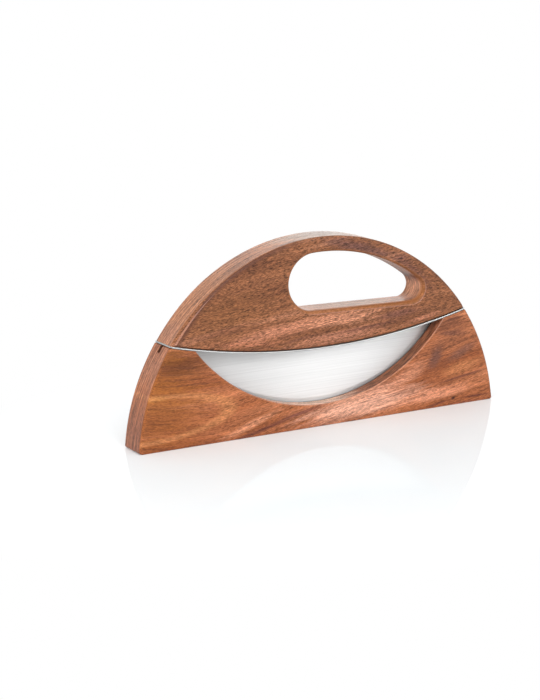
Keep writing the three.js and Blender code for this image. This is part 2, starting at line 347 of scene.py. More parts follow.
class Skin:
    """Points, faces, the exact normal at each face corner and what each face is, gathered for one mesh."""

    def __init__(self) -> None:
        """Start with nothing gathered."""
        self.points: list[tuple[float, float, float]] = []
        self.faces: list[tuple[int, ...]] = []
        self.normals: list[tuple[float, float, float]] = []
        self.trims: list[float] = []

    def add(self, points: Array) -> Array:
        """Add points.

        Args:
            points: One (x, y, z) row for each.

        Returns:
            Their numbers.
        """
        start = len(self.points)
        self.points.extend(map(tuple, np.asarray(points, float)))
        return np.arange(start, len(self.points))

    def face(self, corners: Sequence[int], normals: Sequence[Array], trim: Trim = Trim.PLAIN) -> None:
        """Add a face that looks the way its normals do. A face with no area is left out.

        Args:
            corners: The numbers of its points.
            normals: The normal at each corner.
            trim: What the face is.
        """
        place = np.array([self.points[c] for c in corners])
        area = np.cross(place, np.roll(place, -1, axis=0)).sum(axis=0)
        if np.linalg.norm(area) < LEAST_AREA:
            return
        pairs = list(zip(map(int, corners), normals))
        if area @ np.sum(normals, axis=0) < 0:
            pairs.reverse()
        self.faces.append(tuple(c for c, _ in pairs))
        self.normals.extend(tuple(n / np.linalg.norm(n)) for _, n in pairs)
        self.trims.extend(trim.value)

    def flat(self, rings: Sequence[Array], normal: Sequence[float], trim: Trim = Trim.PLAIN) -> None:
        """Fill a flat face between an outer ring and its holes.

        Args:
            rings: The point numbers of each ring.
            normal: The face's normal.
            trim: What the face is.
        """
        numbers = np.concatenate(rings)
        loops = [[Vector(self.points[n]) for n in ring] for ring in rings]
        for triangle in tessellate_polygon(loops):
            self.face(numbers[list(triangle)], [np.asarray(normal, float)] * 3, trim)

    def quad(self, first: Array, second: Array, i: int, normals: Sequence[Array], trim: Trim) -> None:
        """Join two rows by a face that starts at their place i, the last place to the first."""
        j = (i + 1) % len(first)
        self.face((first[i], first[j], second[j], second[i]), normals, trim)

    def ruled(self, first: Array, second: Array, normals: Array, closed: bool = False,
              trim: Trim = Trim.PLAIN) -> None:
        """Join two rows of points that share their normals.

        Args:
            first: Numbers of the first row.
            second: Numbers of the second row.
            normals: The normal at each place along the rows.
            closed: Whether the last place joins the first.
            trim: What the faces are.
        """
        for i in range(len(first) if closed else len(first) - 1):
            start, end = normals[i], normals[(i + 1) % len(first)]
            self.quad(first, second, i, (start, end, end, start), trim)

    def build(self, name: str) -> Object:
        """Make the mesh object.

        Args:
            name: The piece's name.

        Returns:
            The object, linked into the scene.
        """
        piece = new_object(name, self.points, self.faces)
        mesh = piece.data
        mesh.polygons.foreach_set("use_smooth", [True] * len(mesh.polygons))
        mesh.normals_split_custom_set(self.normals)
        mesh.attributes.new("trim", "FLOAT_VECTOR", "FACE").data.foreach_set("vector", self.trims)
        mesh.update()
        return piece


@dataclass
class Run:
    """A smooth stretch of an outline and the shape of its edge.

    Rows go from the face, row 0, to the wall. For each row and point, depth is how far it is behind the
    face, and inset how far inside the outline. Lean holds the normal's angle from the face's normal at both
    ends of each step. A run is through where its wall goes through the whole thickness, past no saw slot.
    """

    points: Array
    inward: Array
    depth: Array | None
    inset: Array
    lean: Array
    through: bool = True

    @classmethod
    def sharp(cls, points: Array, inward: Array) -> "Run":
        """Make a run with a plain edge and a wall that ends at the slot.

        Args:
            points: Its (x, z) points.
            inward: The unit directions into the material.

        Returns:
            The run, which takes its depths from its neighbours.
        """
        count = len(points)
        lean = np.full((EDGE_ROWS, 2, count), QUARTER)
        return cls(points, inward, None, np.zeros((EDGE_ROWS + 1, count)), lean, False)

    @classmethod
    def rounded(cls, points: Array, inward: Array, radius: Array, shoulder: Array, through: bool = True,
                stretch: float = 1.0) -> "Run":
        """Make a run with a round edge below a small shoulder, as a router leaves it.

        Args:
            points: Its (x, z) points.
            inward: The unit directions into the material.
            radius: The edge's radius at each point.
            shoulder: The shoulder's height at each point.
            through: Whether its wall goes through the whole thickness.
            stretch: How many times deeper than the radius the edge is.

        Returns:
            The run.
        """
        turn = np.linspace(0, QUARTER, EDGE_ROWS)
        radius, shoulder = np.broadcast_arrays(radius, shoulder, np.zeros(len(points)))[:2]
        depth = np.vstack([0 * radius, shoulder + stretch * np.outer(1 - np.cos(turn), radius)])
        inset = np.vstack([radius + SHOULDER_SLOPE * shoulder, np.outer(1 - np.sin(turn), radius)])
        lean = np.full((EDGE_ROWS, 2, len(points)), math.atan2(1, SHOULDER_SLOPE))
        tilt = np.arctan2(stretch * np.sin(turn), np.cos(turn))
        lean[1:, 0] = tilt[:-1, None]
        lean[1:, 1] = tilt[1:, None]
        return cls(points, inward, depth, inset, lean, through)

    @classmethod
    def rebated(cls, points: Array, inward: Array, height: float, depth: float) -> "Run":
        """Make a run with a small square rebate, which reads as a shadow line.

        Args:
            points: Its (x, z) points.
            inward: The unit directions into the material.
            height: How far the rebate reaches into the face.
            depth: How deep it is.

        Returns:
            The run.
        """
        count = len(points)
        rows = np.full((EDGE_ROWS + 1, count), depth)
        rows[0] = 0
        inset = np.zeros((EDGE_ROWS + 1, count))
        inset[:2] = height
        lean = np.full((EDGE_ROWS, 2, count), QUARTER)
        lean[1] = 0
        return cls(points, inward, rows, inset, lean)

    @classmethod
    def chamfered(cls, points: Array, inward: Array, size: float) -> "Run":
        """Make a run with a bevelled edge and a wall that ends at the slot.

        Args:
            points: Its (x, z) points.
            inward: The unit directions into the material.
            size: How far the bevel goes in both directions.

        Returns:
            The run.
        """
        share = np.append(0, np.linspace(BEVEL_STEP, 1, EDGE_ROWS))
        depth = np.outer(share, np.full(len(points), size))
        lean = np.full((EDGE_ROWS, 2, len(points)), QUARTER / 2)
        return cls(points, inward, depth, size - depth, lean, False)

    def mirrored(self) -> "Run":
        """Give the run's mirror image on the other side, drawn in the same turning sense.

        Returns:
            The mirrored run.
        """
        points, inward = (rows[::-1] * np.array([-1, 1]) for rows in (self.points, self.inward))
        depth = None if self.depth is None else self.depth[:, ::-1]
        return Run(points, inward, depth, self.inset[:, ::-1], self.lean[..., ::-1], self.through)


class Loop:
    """A closed outline made of runs, with the rows of points that its edge needs."""

    def __init__(self, runs: Sequence[Run], trim: Trim = Trim.PLAIN) -> None:
        """Work out the rows.

        Args:
            runs: The runs in order.
            trim: What the edge's faces are.
        """
        self.runs = runs
        self.trim = trim
        self._lend_depths()
        self.places: list[tuple[Run, int]] = [(run, i) for run in runs for i in range(len(run.points) - 1)]
        self.rows = np.zeros((EDGE_ROWS + 1, len(self.places), 2))
        self.depth = np.zeros((EDGE_ROWS + 1, len(self.places)))
        before = {id(run): runs[k - 1] for k, run in enumerate(runs)}
        for number, (run, i) in enumerate(self.places):
            last, at = (run, i) if i else (before[id(run)], -1)
            self.depth[:, number] = max(last.depth[:, at], run.depth[:, i], key=lambda rows: rows[-1])
            self.rows[:, number] = run.points[i] + self._inset(last, at, run, i)

    def _lend_depths(self) -> None:
        """Give each plain run the depths of its neighbours' ends, blended along it."""
        for k, run in enumerate(self.runs):
            if run.depth is None:
                first, last = self.runs[k - 1].depth, self.runs[(k + 1) % len(self.runs)].depth
                share = np.linspace(0, 1, len(run.points))
                run.depth = np.outer(first[:, -1], 1 - share) + np.outer(last[:, 0], share)

    @staticmethod
    def _inset(last: Run, at: int, run: Run, i: int) -> Array:
        """Work out how far a point moves in at each row.

        Args:
            last: The run before the point.
            at: The point's place in it.
            run: The run after the point.
            i: The point's place in that.

        Returns:
            One (x, z) shift for each row.
        """
        one, two = last.inward[at], run.inward[i]
        if one @ two > SMOOTH_JOIN:
            return np.outer(np.maximum(last.inset[:, at], run.inset[:, i]), two)
        asked = np.stack([last.inset[:, at], run.inset[:, i]])
        return np.linalg.solve(np.stack([one, two]), asked).T

    def outward(self, segment: int) -> tuple[Array, Array]:
        """Give the wall's normals in space at a segment's two ends."""
        run, i = self.places[segment]
        return tuple(-in_space(run.inward[k]) for k in (i, i + 1))

    def edge_normals(self, segment: int, row: int, side: int) -> tuple[Array, ...]:
        """Give the normals of one face of the edge.

        Args:
            segment: The segment's number.
            row: The row nearer to the face.
            side: FRONT or BACK.

        Returns:
            The normals at row start, row end, next row's end and next row's start.
        """
        run, i = self.places[segment]
        start, end = self.outward(segment)
        ahead = np.array([0.0, side, 0.0])
        near, far = run.lean[row]
        mixed = [(start, near[i]), (end, near[i + 1]), (end, far[i + 1]), (start, far[i])]
        return tuple(wall * math.sin(t) + ahead * math.cos(t) for wall, t in mixed)


class Slab:
    """A board cut to outlines, with shaped edges on both faces."""

    def __init__(self, form: Form, loops: Sequence[Loop]) -> None:
        """Add both faces and all the edges.

        Args:
            form: The shared sizes.
            loops: The outer outline and then the holes.
        """
        self.form = form
        self.loops = loops
        self.skin = Skin()
        self.sides: dict[int, list[Array]] = {}
        for side in SIDES:
            rows = [self._edge(loop, side) for loop in loops]
            self.sides[side] = [r[-1] for r in rows]
            self.skin.flat([r[0] for r in rows], (0, side, 0))

    def _edge(self, loop: Loop, side: int) -> list[Array]:
        """Add one loop's edge on one side.

        Args:
            loop: The loop.
            side: FRONT or BACK.

        Returns:
            The point numbers of each row.
        """
        places = in_space(loop.rows, side * (self.form.half - loop.depth))
        rows = [self.skin.add(row) for row in places]
        for k, (near, far) in enumerate(zip(rows, rows[1:])):
            trim = loop.trim if k else Trim.SHOULDER
            for s in range(len(near)):
                self.skin.quad(near, far, s, loop.edge_normals(s, k, side), trim)
        return rows

    def walls(self) -> None:
        """Join the front and back of every loop."""
        for loop, front, back in zip(self.loops, self.sides[FRONT], self.sides[BACK]):
            self.wall(loop, front, back, range(len(front)))

    def wall(self, loop: Loop, first: Array, second: Array, segments: Sequence[int],
             trim: Trim = Trim.PLAIN) -> None:
        """Join two rows of a loop along its wall.

        Args:
            loop: The loop.
            first: The first row's point numbers.
            second: The second row's point numbers.
            segments: The segments to join.
            trim: What the faces are.
        """
        for s in segments:
            start, end = loop.outward(s)
            self.skin.quad(first, second, s, (start, end, end, start), trim)


@dataclass
class Piece:
    """What every sub-assembly has: a name, a body, a material slot and the CAD nodes that it stands for."""

    form: Form
    name: str
    body: Body
    slot: Slot
    nodes: tuple[str, ...]

    def dress(self, material: Material, *pieces: Object) -> None:
        """Give the built pieces their finish and their place in the frame.

        Args:
            material: Their finish.
            pieces: The built objects, one for each node.
        """
        for piece, node in zip(pieces, self.nodes):
            piece.data.materials.clear()
            piece.data.materials.append(material)
            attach(piece, self.body.value)
            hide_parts(node)
            LOG.info("%s: %d faces on body %s", piece.name, len(piece.data.polygons), self.body.value)


@dataclass
class Handle(Piece):
    """The arched wooden handle with its finger hole."""

    grip_bar: float = 10.7 * MM
    edge_radius: float = 1.8 * MM
    crown_radius: float = 2.0 * MM
    crown_from: float = 0.7
    shoulder: float = 0.7 * MM
    shoulder_from: float = 2.18
    shoulder_fade: float = 0.25
    shadow_line: tuple[float, float] = (1.0 * MM, 2.2 * MM)
    left_place: float = -6.5 * MM
    left_web: float = 25.7 * MM
    right_radius: float = 8.7 * MM
    right_web: float = 23.9 * MM
    hole_edge: float = 2.3 * MM
    hole_top_edge: float = 1.6 * MM
    hole_top_gain: float = 1.2
    hole_stretch: float = 1.7
    hole_shoulder: float = 0.35 * MM
    hole_shoulder_from: float = -12 * MM
    hole_shoulder_fade: float = 16 * MM
    hole_under: float = 0.5
    hole_under_gain: float = 2.0
    seat_margin: float = 9 * MM
    seat_steps: int = 90
    arch_margin: float = 0.022
    arch_steps: int = 170
    end_steps: int = 56
    top_steps: int = 70
    floor_steps: int = 40

    def build(self) -> Object:
        """Make the handle.

        Returns:
            The object.
        """
        slab = Slab(self.form, [Loop(self._outline()), Loop([self._hole()], Trim.ROUTED)])
        slab.walls()
        return slab.skin.build(self.name)

    def _outline(self) -> list[Run]:
        """Draw the seat and the arch.

        Returns:
            The two runs.
        """
        form = self.form
        low = bisect(lambda t: float(form.seat(form.arch(t)[0], 0) - form.arch(t)[1]), 0, QUARTER)
        end = float(form.arch(low)[0])
        x = spaced(-end, end, self.seat_margin, self.seat_steps)
        seat = Run.rebated(form.seat_points(x, 0), form.seat_up(x, 0), *self.shadow_line)
        angles = spaced(low, math.pi - low, self.arch_margin, self.arch_steps)
        crown = grows(np.sin(angles), self.crown_from, 1 - self.crown_from)
        radius = self.edge_radius + (self.crown_radius - self.edge_radius) * crown
        left = grows(angles, self.shoulder_from, self.shoulder_fade)
        shoulder = form.least_shoulder + self.shoulder * left
        return [seat, Run.rounded(form.arch(angles), form.arch_inward(angles), radius, shoulder)]

    def _hole_ends(self) -> list[tuple[float, float, float]]:
        """Place the hole's round ends so that the bar over them keeps its width.

        Returns:
            The x, z and radius of the right end and of the left end.
        """
        form, bar = self.form, self.grip_bar
        floor = form.seat_height + self.left_web
        left = bisect(lambda r: self._height(self.left_place, bar + r) - floor - r, 0, form.rise / 3)
        right_z = form.seat_height + self.right_web + self.right_radius
        inset = bar + self.right_radius
        right_x = bisect(lambda x: self._height(x, inset) - right_z, 0, form.half_span - inset)
        return [(right_x, right_z, self.right_radius), (self.left_place, floor + left, left)]

    def _hole(self) -> Run:
        """Draw the finger hole from the right end's foot, over the top and back along its floor.

        Returns:
            Its one closed run.
        """
        form, bar = self.form, self.grip_bar
        ends = self._hole_ends()
        touches = [form.arch_angle(z, bar + r) for _, z, r in ends]
        touches[1] = math.pi - touches[1]
        turns = [heading(-form.arch_inward(t, bar + r)) for t, (_, _, r) in zip(touches, ends)]
        right_way, left_way = (
            rays(np.linspace(first, last, self.end_steps))
            for first, last in ((-QUARTER, turns[0]), (turns[1], 3 * QUARTER))
        )
        right, left = (np.array([x, z]) + r * way for (x, z, r), way in zip(ends, (right_way, left_way)))
        meets = (form.arch_angle(right[-1][1], bar), math.pi - form.arch_angle(left[0][1], bar))
        sweep = np.linspace(*meets, self.top_steps)[1:-1]
        share = np.linspace(0, 1, self.floor_steps)[1:-1, None]
        floor = left[-1] * (1 - share) + right[0] * share
        down = np.tile([0.0, -1.0], (len(floor), 1))
        line = np.concatenate([right, form.arch(sweep, bar), left, floor, right[:1]])
        inward = np.concatenate([right_way, -form.arch_inward(sweep, bar), left_way, down, right_way[:1]])
        under = grows(-inward[:, 1], -self.hole_under, 1)
        under = under * grows(line[:, 0], self.hole_shoulder_from, self.hole_shoulder_fade)
        shoulder = form.least_shoulder + self.hole_shoulder * np.clip(under * self.hole_under_gain, 0, 1)
        top = np.clip(self.hole_top_gain * inward[:, 1], 0, 1)
        radius = self.hole_edge + (self.hole_top_edge - self.hole_edge) * top
        return Run.rounded(line, inward, radius, shoulder, stretch=self.hole_stretch)

    def _height(self, x: float, inset: float) -> float:
        """Give the height at a place of the arch whose half axes are shorter by an inset."""
        share = x / (self.form.half_span - inset)
        return (self.form.rise - inset) * math.sqrt(max(0.0, 1 - share * share)) - self.form.drop


@dataclass
class Block(Piece):
    """The wooden stand with its window and saw slot."""

    edge_radius: float = 2 * MM
    foot_edge: float = 0.7 * MM
    corner_radius: float = 2 * MM
    corner_fade: float = 0.1
    foot_radius: float = 2 * MM
    chamfer: float = 0.6 * MM
    # Width of the strip of painted shade on the window's wall beside the slot.
    slot_shade_width: float = 0.8 * MM
    bottom_margin: float = 5 * MM
    bottom_steps: int = 60
    foot_steps: int = 9
    lower_steps: int = 50
    upper_steps: int = 12
    corner_steps: int = 14
    top_margin: float = 3 * MM
    top_steps: int = 10
    window_margin: float = 0.02
    window_steps: int = 170
    slot_steps: int = 90

    def build(self) -> Object:
        """Make the block.

        Returns:
            The object.
        """
        bottom, lower, upper, top, window = self._outline()
        loop = Loop([bottom, lower, upper, top, window, *(r.mirrored() for r in (top, upper, lower))])
        slab = Slab(self.form, [loop])
        self._slot(slab, loop, self._inside(slab, loop, window))
        return slab.skin.build(self.name)

    def _outline(self) -> list[Run]:
        """Draw the bottom, the right end, the right part of the top and the window.

        Returns:
            The runs in order.
        """
        form = self.form
        lower, upper = self._right_end()
        foot, corner = float(lower.points[0][0]), float(upper.points[-1][0])
        x = spaced(-foot, foot, self.bottom_margin, self.bottom_steps)
        up = np.tile([0.0, 1.0], (len(x), 1))
        bottom = Run.rounded(np.stack([x, 0 * x], -1), up, self.foot_edge, form.least_shoulder)
        tip = bisect(
            lambda v: float(form.seat(v, form.block_top) - self._window_height(v)), 0, form.window_radius,
        )
        x = spaced(corner, tip, self.top_margin, self.top_steps)
        top = Run.sharp(form.seat_points(x, form.block_top), -form.seat_up(x, form.block_top))
        reach = math.asin(tip / form.window_radius)
        way = rays(spaced(reach, -reach, self.window_margin, self.window_steps) - QUARTER)
        points = np.array([0, form.window_centre]) + form.window_radius * way
        return [bottom, lower, upper, top, Run.chamfered(points, way, self.chamfer)]

    def _window_height(self, x: float) -> float:
        """Give the height of the window's edge at a place."""
        return self.form.window_centre - math.sqrt(self.form.window_radius ** 2 - x * x)

    def _right_end(self) -> tuple[Run, Run]:
        """Draw the right end: round its foot to the slot's way out, and from there round the top corner.

        Returns:
            The two runs.
        """
        form, r = self.form, self.corner_radius

        def under_top(t: float) -> float:
            """Tell how far the corner's centre is under where the top needs it."""
            x, z = form.arch(t) + r * form.arch_inward(t)
            return float(form.seat(x, form.block_top + r) - z)

        def outside_slot(t: float) -> float:
            """Tell how far the arch is outside the saw slot's circle."""
            x, z = form.arch(t)
            return float(np.hypot(x, z - form.slot_centre) - form.slot_radius)

        start = form.arch_angle(self.foot_radius, self.foot_radius)
        first = heading(-form.arch_inward(start, self.foot_radius))
        way = rays(np.linspace(-QUARTER, first, self.foot_steps))
        foot = form.arch(start, self.foot_radius) + self.foot_radius * way
        turn = bisect(under_top, start, QUARTER)
        way_out = bisect(outside_slot, start, turn)
        angles = np.linspace(form.arch_angle(foot[-1][1]), way_out, self.lower_steps)[1:]
        points = np.concatenate([foot, form.arch(angles)])
        inward = np.concatenate([-way, form.arch_inward(angles)])
        grown = np.linspace(self.foot_edge, self.edge_radius, len(foot))
        radius = np.append(grown, np.full(len(angles), self.edge_radius))
        lower = Run.rounded(points, inward, radius, form.least_shoulder)
        angles = np.linspace(way_out, turn, self.upper_steps)
        out = -form.arch_inward(turn)
        centre = form.arch(turn) - r * out
        up = form.seat_up(centre[0], form.block_top + r)
        way = rays(np.linspace(heading(out), heading(up), self.corner_steps)[1:])
        points = np.concatenate([form.arch(angles), centre + r * way])
        inward = np.concatenate([form.arch_inward(angles), -way])
        fade = np.append(np.ones(len(angles)), np.linspace(1, self.corner_fade, len(way)))
        return lower, Run.rounded(points, inward, self.edge_radius * fade, form.least_shoulder, False)

    def _inside(self, slab: Slab, loop: Loop, window: Run) -> dict[int, Array]:
        """Add the walls, up to the slot where there is one.

        Args:
            slab: The slab with its faces.
            loop: Its loop.
            window: The run whose wall gets a strip of painted shade beside the slot.

        Returns:
            The point numbers along the slot's front and back.
        """
        outline = loop.rows[-1]
        runs = [run for run, _ in loop.places]
        dark = [s for s, run in enumerate(runs) if run is window]
        clean = [s for s, run in enumerate(runs) if run is not window]
        slot = self.form.slot_half
        inner: dict[int, Array] = {}
        for side in SIDES:
            depths = (side * (slot + self.slot_shade_width), side * slot)
            near, inner[side] = (slab.skin.add(in_space(outline, y)) for y in depths)
            slab.wall(loop, slab.sides[side][0], near, range(len(runs)))
            slab.wall(loop, near, inner[side], clean)
            # The strip beside the slot is painted shade.
            slab.wall(loop, near, inner[side], dark, Trim.SLOT_SHADE)
        slab.wall(loop, inner[FRONT], inner[BACK], [s for s, run in enumerate(runs) if run.through])
        return inner

    def _slot(self, slab: Slab, loop: Loop, inner: dict[int, Array]) -> None:
        """Add the slot's sides and its round floor.

        Args:
            slab: The slab with its walls.
            loop: Its loop.
            inner: The point numbers along the slot's front and back.
        """
        form, skin = self.form, slab.skin
        cut_places = [s for s, (run, _) in enumerate(loop.places) if not run.through]
        mouth = cut_places + [(cut_places[-1] + 1) % len(loop.places)]
        ends = [math.asin(loop.rows[-1][k][0] / form.slot_radius) for k in (mouth[-1], mouth[0])]
        way = rays(np.linspace(*ends, self.slot_steps)[1:-1] - QUARTER)
        floor = np.array([0, form.slot_centre]) + form.slot_radius * way
        rows: list[Array] = []
        for side in SIDES:
            low = skin.add(in_space(floor, side * form.slot_half))
            rim = inner[side][mouth]
            # The slot's sides and floor are painted shade.
            skin.flat([np.concatenate([rim, low])], (0, -side, 0), Trim.SLOT_SHADE)
            rows.append(np.concatenate([rim[-1:], low, rim[:1]]))
        normals = -in_space(np.concatenate([way[:1], way, way[-1:]]))
        skin.ruled(*rows, normals, trim=Trim.SLOT_SHADE)


@dataclass
class Plate(Piece):
    """The bent steel strip under the handle."""

    corner_radius: float = 2.2 * MM
    edge_round: float = 0.25 * MM
    tenon_slot: tuple[float, float, float] = (18.6 * MM, 2.2 * MM, 8 * MM)
    corner_steps: int = 8
    bend_steps: int = 120
    edge_steps: int = 9

    def build(self, screws: "Screws") -> Object:
        """Make the plate with its tenon slots and countersunk holes.

        Args:
            screws: The screws, which know their holes.

        Returns:
            The object.
        """
        piece = self._strip()
        cutters = [screws.cutter(spot) for spot in screws.spots()]
        for x in self.form.tenon_places:
            place = self.form.stand(x, 0)
            cutters.append(new_object("cutter", box_corners(self.tenon_slot), BOX_FACES, place))
        cut(piece, cutters)
        return piece

    def _strip(self) -> Object:
        """Make the bent strip with its rounded corners.

        Returns:
            The object.
        """
        form, skin, r, e = self.form, Skin(), self.corner_radius, self.edge_round
        end = form.plate_end - r
        corner = end + r * np.sin(np.linspace(0, QUARTER, self.corner_steps))
        x = np.concatenate([-corner[::-1], np.linspace(-end, end, self.bend_steps)[1:-1], corner])
        ahead = np.sign(x) * np.clip(np.abs(x) - end, 0, r) / r
        across = np.sqrt(np.maximum(0, 1 - ahead ** 2))
        middle = (form.plate_top + form.plate_underside) / 2
        turn = np.linspace(-QUARTER, QUARTER, self.edge_steps)
        flat = np.where(np.isclose(turn, 0), 0, np.copysign(form.plate_thickness / 2 - e, turn))
        offset = middle - flat - e * np.sin(turn)
        pull = e * (1 - np.cos(turn))
        steps = range(len(turn))
        around = [(FRONT, k) for k in reversed(steps)] + [(BACK, k) for k in steps]
        spots, normals = [], []
        for place, a, b in zip(x, ahead, across):
            up = in_space(form.seat_up(place, middle))
            for side, k in around:
                px = place - a * pull[k]
                width = form.half - r + r * b - b * pull[k]
                spots.append((px, side * width, float(form.seat(px, offset[k]))))
                normals.append(np.array([a, side * b, 0]) * math.cos(turn[k]) + up * math.sin(turn[k]))
        numbers = skin.add(np.array(spots)).reshape(len(x), len(around))
        normals = np.array(normals).reshape(len(x), len(around), 3)
        for i in range(len(x) - 1):
            for j in range(len(around)):
                k = (j + 1) % len(around)
                four = [(i, j), (i + 1, j), (i + 1, k), (i, k)]
                skin.face([numbers[p] for p in four], [normals[p] for p in four])
        for i, sign in ((0, -1.0), (-1, 1.0)):
            skin.face(list(numbers[i]), [np.array([sign, 0, 0])] * len(around))
        return skin.build(self.name)


@dataclass
class Blade(Piece):
    """The steel crescent with its ground edge."""

    bevel: float = 7 * MM
    land: float = 0.3 * MM
    spine_gap: float = 0.1 * MM
    tenon: tuple[float, float] = (18 * MM, 1.6 * MM)
    columns: int = 161

    def build(self) -> Object:
        """Make the blade.

        Returns:
            The object, with a UV map whose U runs across the brushing.
        """
        form, skin = self.form, Skin()
        spine = form.plate_underside + self.spine_gap
        x = np.linspace(-form.blade_tip, form.blade_tip, self.columns)
        top = form.seat(x, spine)
        low, ground = (
            form.edge_centre - np.sqrt((form.edge_radius - inset) ** 2 - x ** 2) for inset in (0, self.bevel)
        )
        slope = (form.blade_half - self.land / 2) / self.bevel
        down = in_space(np.stack([x, low - form.edge_centre], -1)) / form.edge_radius
        rows: dict[int, list[Array]] = {}
        for side in SIDES:
            rows[side] = []
            for z in (low, np.minimum(ground, top), top):
                from_edge = form.edge_radius - np.hypot(x, z - form.edge_centre)
                y = np.minimum(form.blade_half, self.land / 2 + slope * np.maximum(0, from_edge))
                rows[side].append(skin.add(np.stack([x, side * y, z], -1)))
            face = np.array([0.0, side, 0.0])
            skin.ruled(rows[side][0], rows[side][1], down * slope + face)
            skin.ruled(rows[side][1], rows[side][2], np.tile(face, (len(x), 1)))
        front, back = rows[FRONT], rows[BACK]
        skin.ruled(front[2], back[2], in_space(form.seat_up(x, spine)))
        skin.ruled(front[0], back[0], down)
        for k, sign in ((0, -1.0), (-1, 1.0)):
            ring = [front[0][k], front[2][k], back[2][k], back[0][k]]
            skin.face(ring, [np.array([sign, 0, 0])] * 4)
        self._tenons(skin)
        piece = skin.build(self.name)
        uv = piece.data.uv_layers.new(name="brushing")
        for loop in piece.data.loops:
            place = piece.data.vertices[loop.vertex_index].co
            uv.data[loop.index].uv = (place.z, place.x)
        return piece

    def _tenons(self, skin: Skin) -> None:
        """Add the short tenons that go up into the plate.

        Args:
            skin: The blade's skin.
        """
        low, high = -self.spine_gap, self.form.plate_thickness - self.spine_gap
        local = box_corners((*self.tenon, high - low), (low + high) / 2)
        for x in self.form.tenon_places:
            place = self.form.stand(x, 0)
            corners = np.array([place @ Vector(c) for c in local])
            numbers = skin.add(corners)
            for face in map(list, BOX_FACES):
                out = corners[face].mean(axis=0) - corners.mean(axis=0)
                skin.face(numbers[face], [out] * 4)


@dataclass
class Screws(Piece):
    """The six countersunk screws that hold the plate."""

    places: tuple[float, ...] = (-84 * MM, 0.0, 84 * MM)
    row: float = 6.5 * MM
    length: float = 16 * MM
    head: float = 3.4 * MM
    head_edge: float = 0.12 * MM
    rim: float = 0.3 * MM
    shank: float = 1.75 * MM
    point: float = 3 * MM
    tip: float = 0.05 * MM
    recess: tuple[float, float, float] = (3.6 * MM, 0.9 * MM, 1.1 * MM)
    recess_taper: float = 0.9
    recess_draft: float = 0.1 * MM
    clearance: float = 0.3 * MM
    cutter_reach: float = 3 * MM
    sides: int = 40
    cutter_sides: int = 48

    def spots(self) -> list[Matrix]:
        """Give the place of each screw, in the order of the CAD nodes."""
        return [self.form.stand(x, y) for y in (-self.row, self.row) for x in self.places]

    def build(self) -> list[Object]:
        """Make the screws.

        Returns:
            The objects.
        """
        first = self._one()
        pieces = [first, *(first.copy() for _ in self.nodes[1:])]
        for piece, spot, node in zip(pieces, self.spots(), self.nodes):
            piece.name = f"{self.name}_{node.rsplit('_', 1)[1]}"
            piece.matrix_world = spot
            if piece is not first:
                bpy.context.scene.collection.objects.link(piece)
        return pieces

    def _one(self) -> Object:
        """Make one screw that stands on its head at the origin.

        Returns:
            The object.
        """
        skin = Skin()
        profile = [
            (self.head - self.head_edge, 0.0), (self.head, self.head_edge), (self.head, self.rim),
            (self.shank, self.rim + self.head - self.shank), (self.shank, self.length - self.point),
            (self.tip, self.length),
        ]
        way = rays(np.linspace(0, 2 * math.pi, self.sides, endpoint=False))
        rings = [skin.add(np.column_stack([way * r, np.full(self.sides, z)])) for r, z in profile]
        for k, ((r0, z0), (r1, z1)) in enumerate(zip(profile, profile[1:])):
            out = np.column_stack([way * (z1 - z0), np.full(self.sides, r0 - r1)])
            skin.ruled(rings[k], rings[k + 1], out, True)
        skin.flat([rings[-1]], (0, 0, 1))
        self._recess(skin, rings[0])
        return skin.build(self.name)

    def _recess(self, skin: Skin, head: Array) -> None:
        """Add the head's flat with its cross recess.

        Args:
            skin: The screw's skin.
            head: The point numbers round the flat.
        """
        long, wide, deep = self.recess[0] / 2, self.recess[1] / 2, self.recess[2]
        arm = [(wide, wide), (wide, long), (-wide, long)]
        cross: list[tuple[float, float]] = []
        for _ in range(4):
            cross.extend(arm)
            arm = [(-y, x) for x, y in arm]
        mouth = skin.add(np.array([(x, y, 0.0) for x, y in cross]))
        floor = skin.add(np.array([(x * self.recess_taper, y * self.recess_taper, deep) for x, y in cross]))
        skin.flat([head, mouth], (0, 0, -1))
        skin.flat([floor], (0, 0, -1))
        for k, (x, y) in enumerate(cross):
            next_x, next_y = cross[(k + 1) % len(cross)]
            inward = np.array([y - next_y, next_x - x, -self.recess_draft])
            skin.quad(mouth, floor, k, [inward] * 4, Trim.PLAIN)

    def cutter(self, spot: Matrix) -> Object:
        """Make the cutter for one screw's hole in the plate.

        Args:
            spot: The screw's place.

        Returns:
            The cutter.
        """
        head, shank, n = self.head + self.clearance, self.shank + self.clearance, self.cutter_sides
        profile = [
            (head, -self.cutter_reach), (head, self.rim),
            (shank, self.rim + head - shank), (shank, self.length),
        ]
        way = rays(np.linspace(0, 2 * math.pi, n, endpoint=False))
        points = np.concatenate([np.column_stack([way * r, np.full(n, z)]) for r, z in profile])
        last = n * (len(profile) - 1)
        faces = [
            (k + i, k + (i + 1) % n, k + n + (i + 1) % n, k + n + i)
            for k in range(0, last, n) for i in range(n)
        ]
        faces += [tuple(reversed(range(n))), tuple(range(last, last + n))]
        return new_object("cutter", points, faces, spot)


@dataclass(frozen=True)
class Pattern:
    """A noise pattern: how often it changes along each axis, its finer layers and their strength."""

    size: tuple[float, float, float]
    detail: float = 2.0
    roughness: float = 0.5


